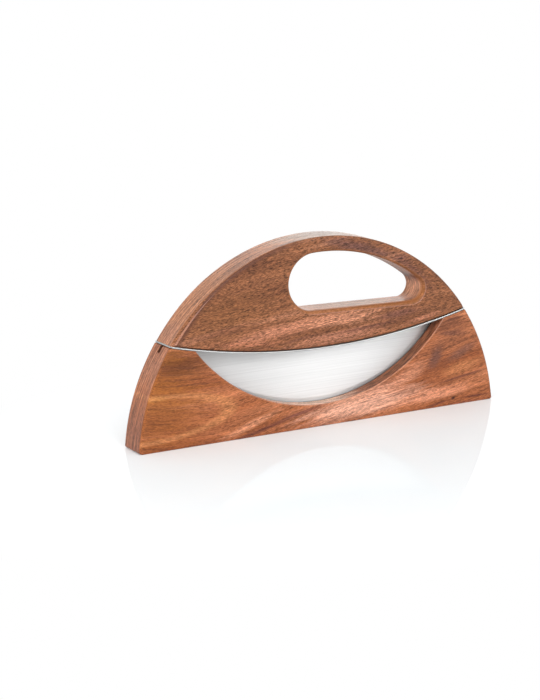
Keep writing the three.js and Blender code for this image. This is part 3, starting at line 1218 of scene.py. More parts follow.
# Noise patterns of the wood and the steel, by the millimetre, and of the floor, by the metre.
WARP = Pattern((0.012, 0.02, 0.026))
BANDING = Pattern((0.0075, 0.05, 0.085), 3, 0.55)
FRAY = Pattern((0.035, 0.3, 0.5), 3, 0.6)
BOLD_LINES = Pattern((0.012, 0.32, 0.4), 5, 0.66)
HAIRS = Pattern((0.028, 0.85, 1.0), 3, 0.6)
RIPPLE = Pattern((0.2, 0.25, 0.25), 1)
MOTTLE = Pattern((0.38, 1.4, 1.7), 2, 0.6)
STREAKS = Pattern((0.016, 0.55, 0.7), 3, 0.6)
PORES = Pattern((0.14, 2.0, 2.4))
BRUSHING = Pattern((0.004, 0.8, 1.3), 5, 0.75)
SCRATCHES = Pattern((0.05, 6.0, 9.0), 2, 0.6)
CLOUD = Pattern((0.02, 0.03, 0.03))
HAZE = Pattern((6.0, 6.0, 6.0))

# How far noise pushes the grain, the marks and the mottling about, in millimetres.
GRAIN_SWAY = (0.0, 6.0, 9.0)
MARK_SWAY = (0.0, 0.0, 3.0)
MOTTLE_SWAY = (0.0, 1.6, 2.4)

# Limits between which a pattern, a distance or a turn of the surface takes effect.
SIDE_TURN = (0.12, 0.5)
STREAK_LIMITS = (0.54, 0.7)
PORE_LIMITS = (0.56, 0.68)
MARK_LIMITS = (0.15, 1.0)
# Where the painted shade along the arch starts and where it is full.
RIM_SHADE_LIMITS = (0.05, 0.5)
RIM_SHADE_FULL = 0.9
# The routed edge's tint fades where the edge faces down, which paints shade under the bar.
ROUTED_SHADE_TILT = (-0.35, 0.1)
ROUTED_AMOUNT = (0.3, 0.42)
STEEL_LIMITS = (0.35, 0.65)

# The grain's run round the arch on the sides: its length, its fineness across, its slant and its depth.
WOUND_LENGTH, WOUND_ACROSS, WOUND_SLANT, WOUND_DEPTH = 0.9, 1.3, 0.09, 0.12

# How ragged the marks are and how deep they go, and how the wood and the steel take light.
MARK_FRAY, RING_FRAY = 1.2, 0.6
MARK_DEPTH = 1e5
LEAST_TONE = 0.25
PORE_ROUGHNESS = 0.15
HAIR_RELIEF, PORE_RELIEF = 0.6, -0.8
WOOD_BUMP = {"Strength": 0.3, "Distance": 0.06 * MM}
BRUSHING_SHARE = 0.7
TONE_ROUGHNESS, CLOUD_ROUGHNESS = 0.06, 0.03
STEEL_BUMP = {"Strength": 0.02, "Distance": 0.01 * MM}


class Graph:
    """A node tree with short calls for the nodes that the finishes are made of."""

    def __init__(self, tree: bpy.types.NodeTree) -> None:
        """Start with an empty tree."""
        self.tree = tree
        tree.nodes.clear()

    def add(self, kind: str, inputs: Inputs | None = None, **settings: object) -> bpy.types.Node:
        """Add a node.

        Args:
            kind: The node's type without its prefix.
            inputs: Values or sockets for its inputs.
            settings: Its properties.

        Returns:
            The node.
        """
        node = self.tree.nodes.new(f"ShaderNode{kind}")
        for key, value in settings.items():
            setattr(node, key, value)
        for key, value in (inputs or {}).items():
            if isinstance(value, Socket):
                self.tree.links.new(value, node.inputs[key])
            else:
                node.inputs[key].default_value = value
        return node

    def math(self, operation: str, *values: Socket | float) -> Socket:
        """Work with values, given in the order of the node's inputs."""
        return self.add("Math", dict(enumerate(values)), operation=operation).outputs[0]

    def vector(self, operation: str, *values: Socket | Sequence[float]) -> Socket:
        """Work with vectors, given in the order of the node's inputs."""
        return self.add("VectorMath", dict(enumerate(values)), operation=operation).outputs[0]

    def length(self, vector: Socket) -> Socket:
        """Measure a vector."""
        return self.add("VectorMath", {0: vector}, operation="LENGTH").outputs["Value"]

    def parts(self, vector: Socket) -> tuple[Socket, Socket, Socket]:
        """Split a vector into its three parts."""
        return tuple(self.add("SeparateXYZ", {0: vector}).outputs)

    def joined(self, x: Socket | float, y: Socket | float, z: Socket | float) -> Socket:
        """Join three values into a vector."""
        return self.add("CombineXYZ", {0: x, 1: y, 2: z}).outputs[0]

    def millimetres(self, place: Socket) -> Socket:
        """Turn a place in metres into one in millimetres."""
        return self.vector("MULTIPLY_ADD", place, (1 / MM,) * 3, (0, 0, 0))

    def noise(self, place: Socket, pattern: Pattern, shift: Sequence[float] = (0, 0, 0),
              colour: bool = False) -> Socket:
        """Add a noise pattern.

        Args:
            place: Where it is looked up, in the unit of the pattern's size.
            pattern: The pattern.
            shift: Where in the noise this one starts.
            colour: Whether three channels are wanted.

        Returns:
            Its value, or its colour.
        """
        inputs = {
            "Vector": self.vector("MULTIPLY_ADD", place, pattern.size, shift), "Scale": 1.0,
            "Detail": pattern.detail, "Roughness": pattern.roughness,
        }
        return self.add("TexNoise", inputs).outputs[1 if colour else 0]

    def swayed(self, place: Socket, noise: Socket, size: Sequence[float]) -> Socket:
        """Push a place about by a noise colour, by up to half a size each way."""
        push = self.vector("MULTIPLY_ADD", noise, size, [-s / 2 for s in size])
        return self.vector("ADD", place, push)

    def swing(self, noise: Socket, gain: float, base: Socket | float) -> Socket:
        """Let a noise value, which is about 0.5, sway a base up and down by a gain."""
        return self.math("MULTIPLY_ADD", self.math("SUBTRACT", noise, 0.5), gain, base)

    def toward(self, share: Socket, value: float) -> Socket:
        """Go from 1 to a value as a share goes from 0 to 1."""
        return self.math("MULTIPLY_ADD", share, value - 1, 1.0)

    def ease(self, value: Socket, low: float, high: float, to_low: float = 0, to_high: float = 1) -> Socket:
        """Map a value smoothly between two limits.

        Args:
            value: The value.
            low: Where the change starts.
            high: Where it ends.
            to_low: The result at the start.
            to_high: The result at the end.

        Returns:
            The result.
        """
        if low > high:
            low, high, to_low, to_high = high, low, to_high, to_low
        inputs = {"Value": value, "From Min": low, "From Max": high, "To Min": to_low, "To Max": to_high}
        return self.add("MapRange", inputs, interpolation_type="SMOOTHSTEP").outputs[0]

    def mix(self, colour: Socket, tint: Socket | Colour, share: Socket) -> Socket:
        """Mix a share of a tint, the node's input 7, into a colour, its input 6."""
        return self.add("Mix", {0: share, 6: colour, 7: tint}, data_type="RGBA").outputs[2]

    def tinted(self, colour: Socket, tint: Colour, mask: Socket, amount: Socket | float) -> Socket:
        """Lay an amount of a tint over a colour where a mask is."""
        return self.mix(colour, tint, self.math("MULTIPLY", mask, amount))

    def ramp(self, value: Socket, stops: Sequence[tuple[float, Colour]]) -> Socket:
        """Turn a value into a colour.

        Args:
            value: The value.
            stops: Positions and colours in order.

        Returns:
            The colour.
        """
        node = self.add("ValToRGB", {0: value})
        band = node.color_ramp
        while len(band.elements) < len(stops):
            band.elements.new(1.0)
        for element, (position, colour) in zip(band.elements, stops):
            element.position = position
            element.color = colour
        return node.outputs[0]

    def looking(self) -> Socket:
        """Tell the rays that show things, straight or in a mirror or glass, from those that only light them.

        Returns:
            1 for a ray that shows things.
        """
        path = self.add("LightPath").outputs
        mirrored = self.math("MAXIMUM", path["Is Glossy Ray"], path["Is Transmission Ray"])
        return self.math("MAXIMUM", path["Is Camera Ray"], mirrored)

    def finish(self, kind: str, inputs: Inputs) -> None:
        """End a material in its shader."""
        self.add("OutputMaterial", {0: self.add(kind, inputs).outputs[0]})


def new_material(name: str) -> tuple[Material, Graph]:
    """Make an empty material.

    Args:
        name: Its name.

    Returns:
        The material and its node graph.
    """
    material = bpy.data.materials.new(name)
    material.use_nodes = True
    return material, Graph(material.node_tree)


@dataclass(frozen=True)
class Mark:
    """A patch or ring of another tint, in millimetres of the front view: most are the wood's figure, some are
    painted light or shade.
    """

    at: tuple[float, float]
    size: tuple[float, float]
    tilt: float
    tint: Colour
    amount: float
    ring: float = 0.0
    sides: bool = False


@dataclass(frozen=True)
class RimShade:
    """A strip of painted shade on the face along the arch, in millimetres.

    It has its width, its strength at places along X, and the two places between which it moves nearer to the
    edge, with how far in it lies at the first.
    """

    tint: Colour
    amount: float
    width: float
    along: tuple[tuple[float, float], ...]
    shift: tuple[float, float, float]


@dataclass(frozen=True)
class Grain:
    """What a wood finish reads at a spot, in millimetres.

    Up is the height over the arch's centre, side how far the surface is turned from the faces, tilt how far
    it looks up, warp a slow noise, and run the place along, across and over the grain.
    """

    place: Socket
    x: Socket
    up: Socket
    side: Socket
    tilt: Socket
    warp: Socket
    run: Socket


@dataclass(frozen=True)
class WoodFinish:
    """Oiled open-pored hardwood, with its grain along X on the faces and round the arch on the sides."""

    name: str
    bands: tuple[tuple[float, Colour], ...]
    streak: Colour
    streak_amount: float
    pore: Colour
    pore_amount: float
    bold: float
    hair: float
    mottle: float
    side: Colour
    side_amount: float
    climb: float
    seed: float
    # The shoulders' lighter tint is a painted highlight, where their small facets catch the light.
    shoulder: Colour
    shoulder_highlight_amount: float
    bow: tuple[float, float] = (0.0, 0.0)
    calm: tuple[float, float, float] = (0.0, 1.0, 1.0)
    side_gain: float = 2.0
    side_line: float = 0.75
    side_fleck: float = 0.2
    # Dark brown painted shade in the slot and on the strip beside it.
    slot_shade: Colour = (0.13, 0.052, 0.03, 1.0)
    # Golden tint of the routed hole edge, strong where it faces up and fading where it faces down: painted
    # light and shade.
    routed: Colour = (0.38, 0.14, 0.04, 1.0)
    marks: tuple[Mark, ...] = ()
    # A strip of painted shade along the arch, if any.
    rim: RimShade | None = None
    roughness: float = 0.36
    gloss: float = 0.2

    def material(self, form: Form) -> Material:
        """Make the material.

        Args:
            form: The shared sizes, for the run of the arch.

        Returns:
            The material.
        """
        material, g = new_material(self.name)
        grain = self._grain(g, form)
        hairs = g.noise(grain.run, HAIRS, (2, self.seed, 9))
        pores = g.ease(g.noise(grain.run, PORES, (1, 2, self.seed)), *PORE_LIMITS)
        colour = self._lined(g, self._figured(g, grain), grain, hairs)
        colour = g.tinted(colour, self.pore, pores, self.pore_amount)
        if self.rim:
            colour = self._shade_rim(g, colour, grain, form)
        relief = g.math("MULTIPLY_ADD", hairs, HAIR_RELIEF, g.math("MULTIPLY", pores, PORE_RELIEF))
        g.finish("BsdfPrincipled", {
            "Base Color": self._trimmed(g, colour, grain),
            "Roughness": g.math("MULTIPLY_ADD", pores, PORE_ROUGHNESS, self.roughness),
            "Normal": g.add("Bump", {**WOOD_BUMP, "Height": relief}).outputs[0],
            "Specular IOR Level": self.gloss,
        })
        return material

    def _grain(self, g: Graph, form: Form) -> Grain:
        """Work out how the grain runs.

        Args:
            g: The graph.
            form: The shared sizes.

        Returns:
            What the other steps read.
        """
        origin = g.add("TexCoord").outputs
        place = g.millimetres(origin["Object"])
        x, y, z = g.parts(place)
        _, ahead, tilt = g.parts(origin["Normal"])
        side = g.ease(g.math("ABSOLUTE", ahead), *SIDE_TURN, 1.0, 0.0)
        warp = g.noise(place, WARP, (self.seed, 3.1, 7.7), colour=True)
        along, across, over = g.parts(g.swayed(place, warp, GRAIN_SWAY))
        over = g.math("MULTIPLY_ADD", along, -self.climb, over)
        bow_from, bow = self.bow
        if bow:
            left = g.math("MINIMUM", g.math("SUBTRACT", along, bow_from), 0.0)
            over = g.math("MULTIPLY_ADD", g.math("MULTIPLY", left, left), -bow, over)
        up = g.math("ADD", z, form.drop / MM)
        arc = g.math("MULTIPLY", g.math("ARCTAN2", x, up), WOUND_LENGTH * form.rise / MM)
        slant = g.math("MULTIPLY_ADD", y, WOUND_ACROSS, g.math("MULTIPLY", arc, WOUND_SLANT))
        deep = g.math("MULTIPLY", g.length(g.joined(x, 0.0, up)), WOUND_DEPTH)
        # The faces' run and the sides' run are the node's two vectors, its inputs 4 and 5.
        runs = {0: side, 4: g.joined(along, across, over), 5: g.joined(arc, slant, deep)}
        run = g.add("Mix", runs, data_type="VECTOR").outputs[1]
        return Grain(place, x, up, side, tilt, warp, run)

    def _figured(self, g: Graph, grain: Grain) -> Socket:
        """Draw the bands and the marks, those of the faces first.

        Args:
            g: The graph.
            grain: The grain.

        Returns:
            The colour.
        """
        colour = g.ramp(g.noise(grain.run, BANDING, (self.seed, 0, 0)), self.bands)
        place = g.swayed(grain.place, grain.warp, MARK_SWAY)
        fray = g.noise(grain.run, FRAY, (8, self.seed, 3))
        for mark in (mark for mark in self.marks if not mark.sides):
            colour = g.mix(colour, mark.tint, self._patch(g, mark, place, fray))
        colour = g.tinted(colour, self.side, grain.side, self.side_amount)
        for mark in (mark for mark in self.marks if mark.sides):
            colour = g.tinted(colour, mark.tint, self._patch(g, mark, place, fray), grain.side)
        return colour

    @staticmethod
    def _patch(g: Graph, mark: Mark, place: Socket, fray: Socket) -> Socket:
        """Work out where a mark is.

        Args:
            g: The graph.
            mark: The mark.
            place: Where it is looked up.
            fray: Noise that breaks its outline up along the grain.

        Returns:
            Its share of the colour.
        """
        (x, z), (wide, high) = mark.at, mark.size
        inputs = {
            "Vector": place, "Location": (x, 0, z), "Rotation": (0, -math.radians(mark.tilt), 0),
            "Scale": (wide, MARK_DEPTH, high),
        }
        far = g.length(g.add("Mapping", inputs, vector_type="TEXTURE").outputs[0])
        if mark.ring:
            far = g.math("DIVIDE", g.math("ABSOLUTE", g.math("SUBTRACT", far, 1.0)), mark.ring)
        far = g.swing(fray, RING_FRAY if mark.ring else MARK_FRAY, far)
        return g.ease(far, *MARK_LIMITS, mark.amount, 0.0)

    def _lined(self, g: Graph, colour: Socket, grain: Grain, hairs: Socket) -> Socket:
        """Draw the flecks, lines, hairs and streaks.

        Args:
            g: The graph.
            colour: The colour so far.
            grain: The grain.
            hairs: The noise of the hairs.

        Returns:
            The colour.
        """
        run, side = grain.run, grain.side
        ripple = g.noise(run, RIPPLE, (7, self.seed, 1), colour=True)
        mottle = g.noise(g.swayed(run, ripple, MOTTLE_SWAY), MOTTLE, (4, 8, self.seed))
        flecks = g.math("MULTIPLY", g.swing(mottle, self.mottle, 0.0), g.toward(side, self.side_fleck))
        bold = g.noise(run, BOLD_LINES, (self.seed, 5, 2))
        lines = g.math("MULTIPLY", g.swing(bold, self.bold, 0.0), g.toward(side, self.side_line))
        sway = g.swing(hairs, self.hair, g.math("ADD", flecks, lines))
        low, high, least = self.calm
        if least < 1:
            sway = g.math("MULTIPLY", sway, g.math("MAXIMUM", g.ease(grain.x, low, high, least, 1.0), side))
        tone = g.math("MULTIPLY_ADD", sway, g.toward(side, self.side_gain), 1.0)
        tone = g.math("MAXIMUM", tone, LEAST_TONE)
        colour = g.add("VectorMath", {0: colour, "Scale": tone}, operation="SCALE").outputs[0]
        streaks = g.ease(g.noise(run, STREAKS, (self.seed, 1, 7)), *STREAK_LIMITS)
        return g.tinted(colour, self.streak, streaks, self.streak_amount)

    def _shade_rim(self, g: Graph, colour: Socket, grain: Grain, form: Form) -> Socket:
        """Paint shade on the face along the arch, just inside its rounded edge.

        Args:
            g: The graph.
            colour: The colour so far.
            grain: The grain.
            form: The shared sizes.

        Returns:
            The colour.
        """
        rim, x, high = self.rim, grain.x, form.rise / MM
        share = g.joined(g.math("DIVIDE", x, form.half_span / MM), 0.0, g.math("DIVIDE", grain.up, high))
        deep = g.math("MULTIPLY_ADD", g.length(share), -high, high)
        deep = g.math("SUBTRACT", deep, g.ease(x, *rim.shift, 0.0))
        band = g.ease(deep, RIM_SHADE_FULL, rim.width, rim.amount, 0.0)
        band = g.math("MULTIPLY", g.ease(deep, *RIM_SHADE_LIMITS), band)
        for (start, low), (end, top) in zip(rim.along, rim.along[1:]):
            band = g.math("MULTIPLY", band, g.ease(x, start, end, low, top))
        return g.mix(colour, rim.tint, band)

    def _trimmed(self, g: Graph, colour: Socket, grain: Grain) -> Socket:
        """Tint the routed edges, with painted shade where they face down, and paint a highlight on the
        shoulders and shade in the saw slot.

        Args:
            g: The graph.
            colour: The colour so far.
            grain: The grain.

        Returns:
            The colour.
        """
        shoulder, slot_shade, routed = g.parts(g.add("Attribute", attribute_name="trim").outputs["Vector"])
        # Painted light and shade: the routed tint fades where the edge faces down.
        colour = g.tinted(colour, self.routed, routed, g.ease(grain.tilt, *ROUTED_SHADE_TILT, *ROUTED_AMOUNT))
        # Painted highlight: the shoulder facets, and the outer facet of the window's chamfer, lighter.
        colour = g.tinted(colour, self.shoulder, shoulder, self.shoulder_highlight_amount)
        # Painted shade in the slot and on the strip beside it.
        return g.mix(colour, self.slot_shade, slot_shade)


@dataclass(frozen=True)
class SteelFinish:
    """Stainless steel brushed along X."""

    name: str
    light: Colour
    dark: Colour
    roughness: float
    anisotropy: float = 0.0
    mirror: float = 1.0

    def material(self) -> Material:
        """Make the material.

        Returns:
            The material.
        """
        material, g = new_material(self.name)
        place = g.millimetres(g.add("TexCoord").outputs["Object"])
        lines = g.noise(place, BRUSHING)
        scratches = g.noise(place, SCRATCHES, (3, 1, 2))
        cloud = g.noise(place, CLOUD, (5, 5, 5))
        tone = g.math("MULTIPLY", scratches, 1 - BRUSHING_SHARE)
        tone = g.math("MULTIPLY_ADD", lines, BRUSHING_SHARE, tone)
        inputs: Inputs = {
            "Base Color": g.ramp(tone, tuple(zip(STEEL_LIMITS, (self.dark, self.light)))),
            "Metallic": self.mirror,
            "Roughness": g.swing(tone, TONE_ROUGHNESS, g.swing(cloud, CLOUD_ROUGHNESS, self.roughness)),
            "Normal": g.add("Bump", {**STEEL_BUMP, "Height": tone}).outputs[0],
            "Anisotropic": self.anisotropy,
        }
        if self.anisotropy:
            inputs["Tangent"] = g.add("Tangent", direction_type="UV_MAP", uv_map="brushing").outputs[0]
        g.finish("BsdfPrincipled", inputs)
        return material


@dataclass(frozen=True)
class Lamp:
    """A soft rectangular light: its place, what it looks at, its width and height, and its power in watts."""

    name: str
    spot: tuple[float, float, float]
    aim: tuple[float, float, float]
    size: tuple[float, float]
    power: float
    mirrored: bool = True

    def hang(self) -> None:
        """Add the light to the scene, where no camera sees it."""
        data = bpy.data.lights.new(self.name, "AREA")
        data.shape = "RECTANGLE"
        data.size, data.size_y = self.size
        data.energy = self.power
        light = bpy.data.objects.new(self.name, data)
        light.location = self.spot
        light.visible_camera = False
        light.visible_glossy = self.mirrored
        light.rotation_euler = (Vector(self.aim) - Vector(self.spot)).to_track_quat("-Z", "Y").to_euler()
        bpy.context.scene.collection.objects.link(light)


@dataclass(frozen=True)
class Studio:
    """A white floor, soft light and the camera."""

    yaw: float = math.radians(29.333)
    pitch: float = math.radians(12.855)
    roll: float = math.radians(-0.761)
    distance: float = 1.32303
    target: tuple[float, float, float] = (-35.53 * MM, 0.0, 55.14 * MM)
    lens: float = 100.908
    sensor: float = 36.0
    clip: tuple[float, float] = (0.05, 50.0)
    lamps: tuple[Lamp, ...] = (
        Lamp("top", (0.0, 0.1, 1.5), (0, 0, 0.05), (1.8, 1.2), 1.0),
        Lamp("left", (-1.3, -0.55, 0.5), (0, 0, 0.05), (0.8, 0.8), 10.5, False),
        Lamp("fill", (-0.3, -1.3, 1.3), (0, 0, 0.05), (1.2, 0.8), 14.2),
        Lamp("back", (0.73, 1.31, 0.5), (0, 0, 0.1), (1.4, 0.8), 4.6),
        Lamp("strip", (0.631, -1.02, 0.52), (0, 0, 0.05), (0.15, 1.08), 3.1),
    )
    white: Colour = (1.0, 1.0, 1.0, 1.0)
    sky_tint: Colour = (0.98, 0.99, 1.0, 1.0)
    sky: tuple[float, float] = (0.5, 0.6)
    sky_turn: tuple[float, float] = (-0.5, 0.5)
    floor_size: float = 9.0
    floor_tint: Colour = (0.9, 0.93, 0.94, 1.0)
    floor_roughness: float = 0.02
    floor_haze: float = 0.03
    floor_ior: float = 1.25
    floor_gloss: float = 0.12
    near_size: tuple[float, float] = (0.34, 0.26)
    near_shift: tuple[float, float, float] = (-0.06, 0.23, 0.0)
    near_fade: tuple[float, float] = (0.5, 1.0)

    def camera(self) -> None:
        """Place the camera."""
        level = math.cos(self.pitch)
        back = np.array([-math.sin(self.yaw) * level, -math.cos(self.yaw) * level, math.sin(self.pitch)])
        right = np.array([math.cos(self.yaw), -math.sin(self.yaw), 0])
        up = np.cross(back, right)
        across = right * math.cos(self.roll) + up * math.sin(self.roll)
        upright = up * math.cos(self.roll) - right * math.sin(self.roll)
        data = bpy.data.cameras.new("camera")
        data.lens = self.lens
        data.sensor_width = self.sensor
        data.clip_start, data.clip_end = self.clip
        camera = bpy.data.objects.new("camera", data)
        spot = np.array(self.target) + back * self.distance
        camera.matrix_world = Matrix(np.column_stack([across, upright, back, spot]).tolist() + [[0, 0, 0, 1]])
        bpy.context.scene.collection.objects.link(camera)
        bpy.context.scene.camera = camera

    def lights(self) -> None:
        """Hang the lights and make the sky, which shows as white and lights a little more from behind."""
        for lamp in self.lamps:
            lamp.hang()
        world = bpy.data.worlds.new("sky")
        world.use_nodes = True
        bpy.context.scene.world = world
        g = Graph(world.node_tree)
        behind = g.parts(g.add("TexCoord").outputs["Generated"])[1]
        strength = g.ease(behind, *self.sky_turn, *self.sky)
        seen = g.add("Background", {"Color": self.white, "Strength": 1.0})
        shed = g.add("Background", {"Color": self.sky_tint, "Strength": strength})
        both = g.add("MixShader", {0: g.looking(), 1: shed.outputs[0], 2: seen.outputs[0]})
        g.add("OutputWorld", {0: both.outputs[0]})

    def floor(self) -> None:
        """Lay the floor, which mirrors a little near the part and turns to plain white further off."""
        half = self.floor_size / 2
        corners = [(-half, -half, 0), (half, -half, 0), (half, half, 0), (-half, half, 0)]
        floor = new_object("floor", corners, [(0, 1, 2, 3)])
        material, g = new_material("floor_white")
        place = g.add("TexCoord").outputs["Object"]
        rough = g.math("MULTIPLY_ADD", g.noise(place, HAZE), self.floor_haze, self.floor_roughness)
        base = g.add("BsdfPrincipled", {
            "Base Color": self.floor_tint, "Roughness": rough, "IOR": self.floor_ior,
            "Specular IOR Level": self.floor_gloss,
        })
        wide, long = self.near_size
        far = g.length(g.vector("MULTIPLY_ADD", place, (1 / wide, 1 / long, 1.0), self.near_shift))
        fade = g.math("MULTIPLY", g.ease(far, *self.near_fade), g.looking())
        clear = g.add("Emission", {"Color": self.white, "Strength": 1.0})
        g.finish("MixShader", {0: fade, 1: base.outputs[0], 2: clear.outputs[0]})
        floor.data.materials.append(material)

    def view(self) -> None:
        """Set how colours are shown."""
        bpy.context.scene.view_settings.view_transform = "Standard"


HANDLE_WOOD = WoodFinish(
    name="handle_oiled_wood",
    bands=(
        (0.3, srgb(108, 65, 42)), (0.45, srgb(128, 80, 52)),
        (0.57, srgb(141, 90, 60)), (0.72, srgb(164, 110, 81)),
    ),
    streak=srgb(86, 50, 38), streak_amount=0.35,
    pore=srgb(66, 36, 26), pore_amount=0.4,
    bold=0.9, hair=0.8, mottle=3.9,
    side=srgb(190, 132, 98), side_amount=0.6,
    climb=0.13, seed=11.3, side_gain=3.3,
    # Painted highlight: the lighter tint on the shoulder facets along the edges.
    shoulder=srgb(206, 152, 132), shoulder_highlight_amount=0.28,
    # Painted shade: a darker strip on the face just inside the arch's rounded edge.
    rim=RimShade(
        srgb(88, 52, 40), 0.78, 4.6, along=((-116, 0.5), (-104, 1.0), (-46, 1.0), (-4, 0.15)),
        shift=(-106, -86, 2.6),
    ),
    marks=(
        # The face left of the finger hole.
        Mark((-70, 86), (46, 18), 10, srgb(132, 84, 50), 0.55),
        Mark((-80, 74), (34, 3), 8, srgb(116, 70, 52), 0.5),
        Mark((-64, 64.5), (36, 2.6), -4, srgb(176, 110, 80), 0.5),
        # The face along the seat.
        Mark((-26, 71), (64, 6.5), 7, srgb(202, 134, 104), 0.6),
        Mark((14, 73), (46, 6), 2, srgb(206, 142, 110), 0.72),
        Mark((10, 61), (54, 5.5), 4, srgb(190, 128, 100), 0.6),
        Mark((-12, 63.5), (34, 1.6), 6, srgb(98, 60, 50), 0.5),
        Mark((32, 65), (46, 1.6), 5, srgb(96, 58, 50), 0.65),
        Mark((60, 71.5), (24, 4.4), 5, srgb(108, 68, 58), 0.7),
        Mark((80, 66.5), (24, 2.4), 11, srgb(186, 122, 94), 0.6),
        # The bar over the finger hole.
        Mark((30, 120), (46, 7), -18, srgb(101, 67, 61), 0.75),
        Mark((72, 100), (30, 7), -42, srgb(100, 64, 56), 0.6),
        # The arch's side, from the crown to the left end.
        # Painted sheen: the crown's top greyer where it catches the light from above.
        Mark((10, 131), (60, 9), 0, srgb(150, 140, 128), 0.68, sides=True),
        Mark((-58, 120), (26, 12), 0, srgb(150, 102, 78), 0.4, sides=True),
        # Painted shade: the left end darker low down.
        Mark((-114, 78), (14, 16), 0, srgb(154, 108, 88), 0.55, sides=True),
        # The hole's floor and its right end, in painted light and shade.
        # Painted sheen: the hole's upward-facing floor greyer.
        Mark((33, 81.5), (54, 4), 0, srgb(140, 118, 96), 0.74, sides=True),
        # Painted light: the right wall lighter where light from the left falls on it.
        Mark((80, 88), (9, 10), 0, srgb(188, 138, 110), 0.7, sides=True),
        # Painted shade: the underside of the bar darker towards its right corner, with a darker line in the
        # corner.
        Mark((66, 101), (18, 5), -38, srgb(140, 78, 34), 0.9, sides=True),
        Mark((77, 96.5), (10, 4.5), -48, srgb(98, 48, 20), 0.9, sides=True),
    ),
)

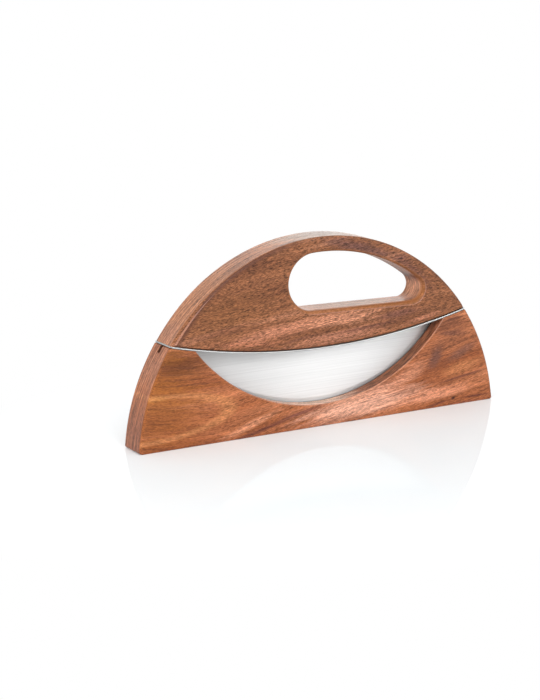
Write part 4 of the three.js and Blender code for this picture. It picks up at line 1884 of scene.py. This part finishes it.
BLOCK_WOOD = WoodFinish(
    name="block_oiled_wood",
    bands=(
        (0.3, srgb(142, 79, 45)), (0.45, srgb(160, 94, 58)),
        (0.57, srgb(174, 106, 69)), (0.72, srgb(196, 127, 90)),
    ),
    streak=srgb(108, 60, 44), streak_amount=0.32,
    pore=srgb(84, 44, 32), pore_amount=0.55,
    bold=1.1, hair=1.2, mottle=2.2,
    side=srgb(156, 98, 72), side_amount=0.7,
    climb=0.18, seed=4.7,
    # Painted highlight: the lighter tint on the shoulder facets, chiefly the outer facet of the window's
    # chamfer.
    shoulder=srgb(226, 172, 146), shoulder_highlight_amount=0.22,
    bow=(-50.0, 0.0018), side_gain=3.0, side_line=0.4, side_fleck=0.35,
    calm=(-104.0, -72.0, 0.75),
    marks=(
        # The face's left end, with a hook of pale grain and fine dark lines.
        Mark((-124, 34), (46, 44), 0, srgb(150, 88, 38), 0.85),
        Mark((-112, 57), (42, 11), 0, srgb(104, 57, 28), 0.85),
        Mark((-138, 20), (60, 12.5), 2, srgb(141, 81, 43), 0.85),
        Mark((-140, 21), (66, 15), 2, srgb(190, 124, 78), 0.8, ring=0.16),
        Mark((-130, 35.5), (16, 2.4), -2, srgb(198, 136, 70), 0.4),
        Mark((-116, 63), (16, 7), 0, srgb(138, 82, 36), 0.7),
        Mark((-107, 54.5), (14, 1.0), -8, srgb(104, 60, 38), 0.75),
        Mark((-108, 50), (24, 0.9), -4, srgb(110, 66, 40), 0.65),
        Mark((-104, 46), (28, 0.8), -3, srgb(112, 66, 42), 0.6),
        Mark((-100, 42), (30, 0.8), -2, srgb(112, 66, 42), 0.6),
        # The face below the window.
        Mark((-60, 8), (34, 3.8), 18, srgb(212, 146, 110), 0.65),
        Mark((30, 10), (72, 11), 5, srgb(229, 172, 146), 0.88),
        Mark((42, 19), (34, 6), 14, srgb(220, 158, 130), 0.75),
        Mark((-46, 5), (36, 2.6), 11, srgb(98, 54, 44), 0.95),
        Mark((-15, 12.2), (24, 2.0), 9, srgb(112, 64, 54), 0.85),
        Mark((88, 10), (44, 7), 5, srgb(223, 151, 117), 0.72),
        # The face's right end, with its dark cloud and its knot.
        Mark((68, 27), (26, 9), 28, srgb(204, 138, 106), 0.65),
        Mark((104, 46), (38, 11), 8, srgb(150, 92, 63), 0.65),
        Mark((91, 37), (14, 7), 62, srgb(108, 70, 58), 0.9),
        Mark((113, 38), (20, 5.2), 22, srgb(122, 80, 64), 0.8),
        Mark((104, 53), (17, 3.2), -8, srgb(112, 70, 54), 0.8),
        Mark((106, 63), (12, 2.2), 4, srgb(112, 64, 46), 0.8),
        Mark((102, 59), (26, 9), 0, srgb(112, 66, 46), 0.75),
        Mark((116, 27), (26, 6), 10, srgb(202, 132, 84), 0.5),
        Mark((114, 20.5), (28, 1.3), 8, srgb(104, 60, 46), 0.9),
        Mark((106.2, 5), (3.0, 2.0), 20, srgb(64, 33, 26), 1.0),
        Mark((94, 3), (13, 1.3), 9, srgb(104, 56, 42), 0.9),
        Mark((125, 4.6), (18, 1.1), 0, srgb(100, 54, 40), 0.95),
        Mark((116, 1.2), (28, 1.2), 2, srgb(130, 74, 54), 0.7),
        # The window's wall, from the right to the left.
        Mark((46, 40), (70, 40), 0, srgb(108, 62, 34), 0.82, sides=True),
        # Painted light: the upward-facing wall paler at the bottom and lower left.
        Mark((0, 17), (36, 7), 0, srgb(226, 188, 164), 0.85, sides=True),
        Mark((-36, 24), (44, 12), -22, srgb(220, 178, 152), 0.8, sides=True),
        # The block's left end.
        # Painted shadow: the left end darker towards the bottom.
        Mark((-140, 8), (14, 34), 0, srgb(118, 74, 56), 0.6, sides=True),
        Mark((-126, 58), (16, 22), 0, srgb(164, 112, 86), 0.6, sides=True),
    ),
)

BLADE_STEEL = SteelFinish(
    "blade_brushed_steel", (0.625, 0.625, 0.625, 1), (0.51, 0.51, 0.51, 1), 0.36, anisotropy=1.0, mirror=0.68,
)
PLATE_STEEL = SteelFinish("plate_brushed_steel", (0.52, 0.53, 0.53, 1), (0.43, 0.44, 0.44, 1), 0.34)
SCREW_STEEL = SteelFinish("screw_satin_steel", (0.58, 0.59, 0.6, 1), (0.5, 0.51, 0.52, 1), 0.36)


def main() -> None:
    """Build and dress every piece, then the studio."""
    logging.basicConfig(level=logging.INFO, format="%(name)s: %(message)s")
    form = Form.from_frame()
    block = Block(form, "stand_block", Body.BLOCK, Slot.BLOCK, ("block",))
    handle = Handle(form, "arched_handle", Body.KNIFE, Slot.HANDLE, ("handle",))
    plate = Plate(form, "seat_plate", Body.KNIFE, Slot.PLATE, ("bolster_plate",))
    blade = Blade(form, "crescent_blade", Body.KNIFE, Slot.BLADE, ("blade",))
    screw_nodes = tuple(f"plate_screw_{n}" for n in range(1, 7))
    screws = Screws(form, "countersunk_screw", Body.KNIFE, Slot.SCREW, screw_nodes)
    block.dress(BLOCK_WOOD.material(form), block.build())
    handle.dress(HANDLE_WOOD.material(form), handle.build())
    plate.dress(PLATE_STEEL.material(), plate.build(screws))
    blade.dress(BLADE_STEEL.material(), blade.build())
    screws.dress(SCREW_STEEL.material(), *screws.build())
    studio = Studio()
    studio.camera()
    studio.lights()
    studio.floor()
    studio.view()


if __name__ == "__main__":
    main()
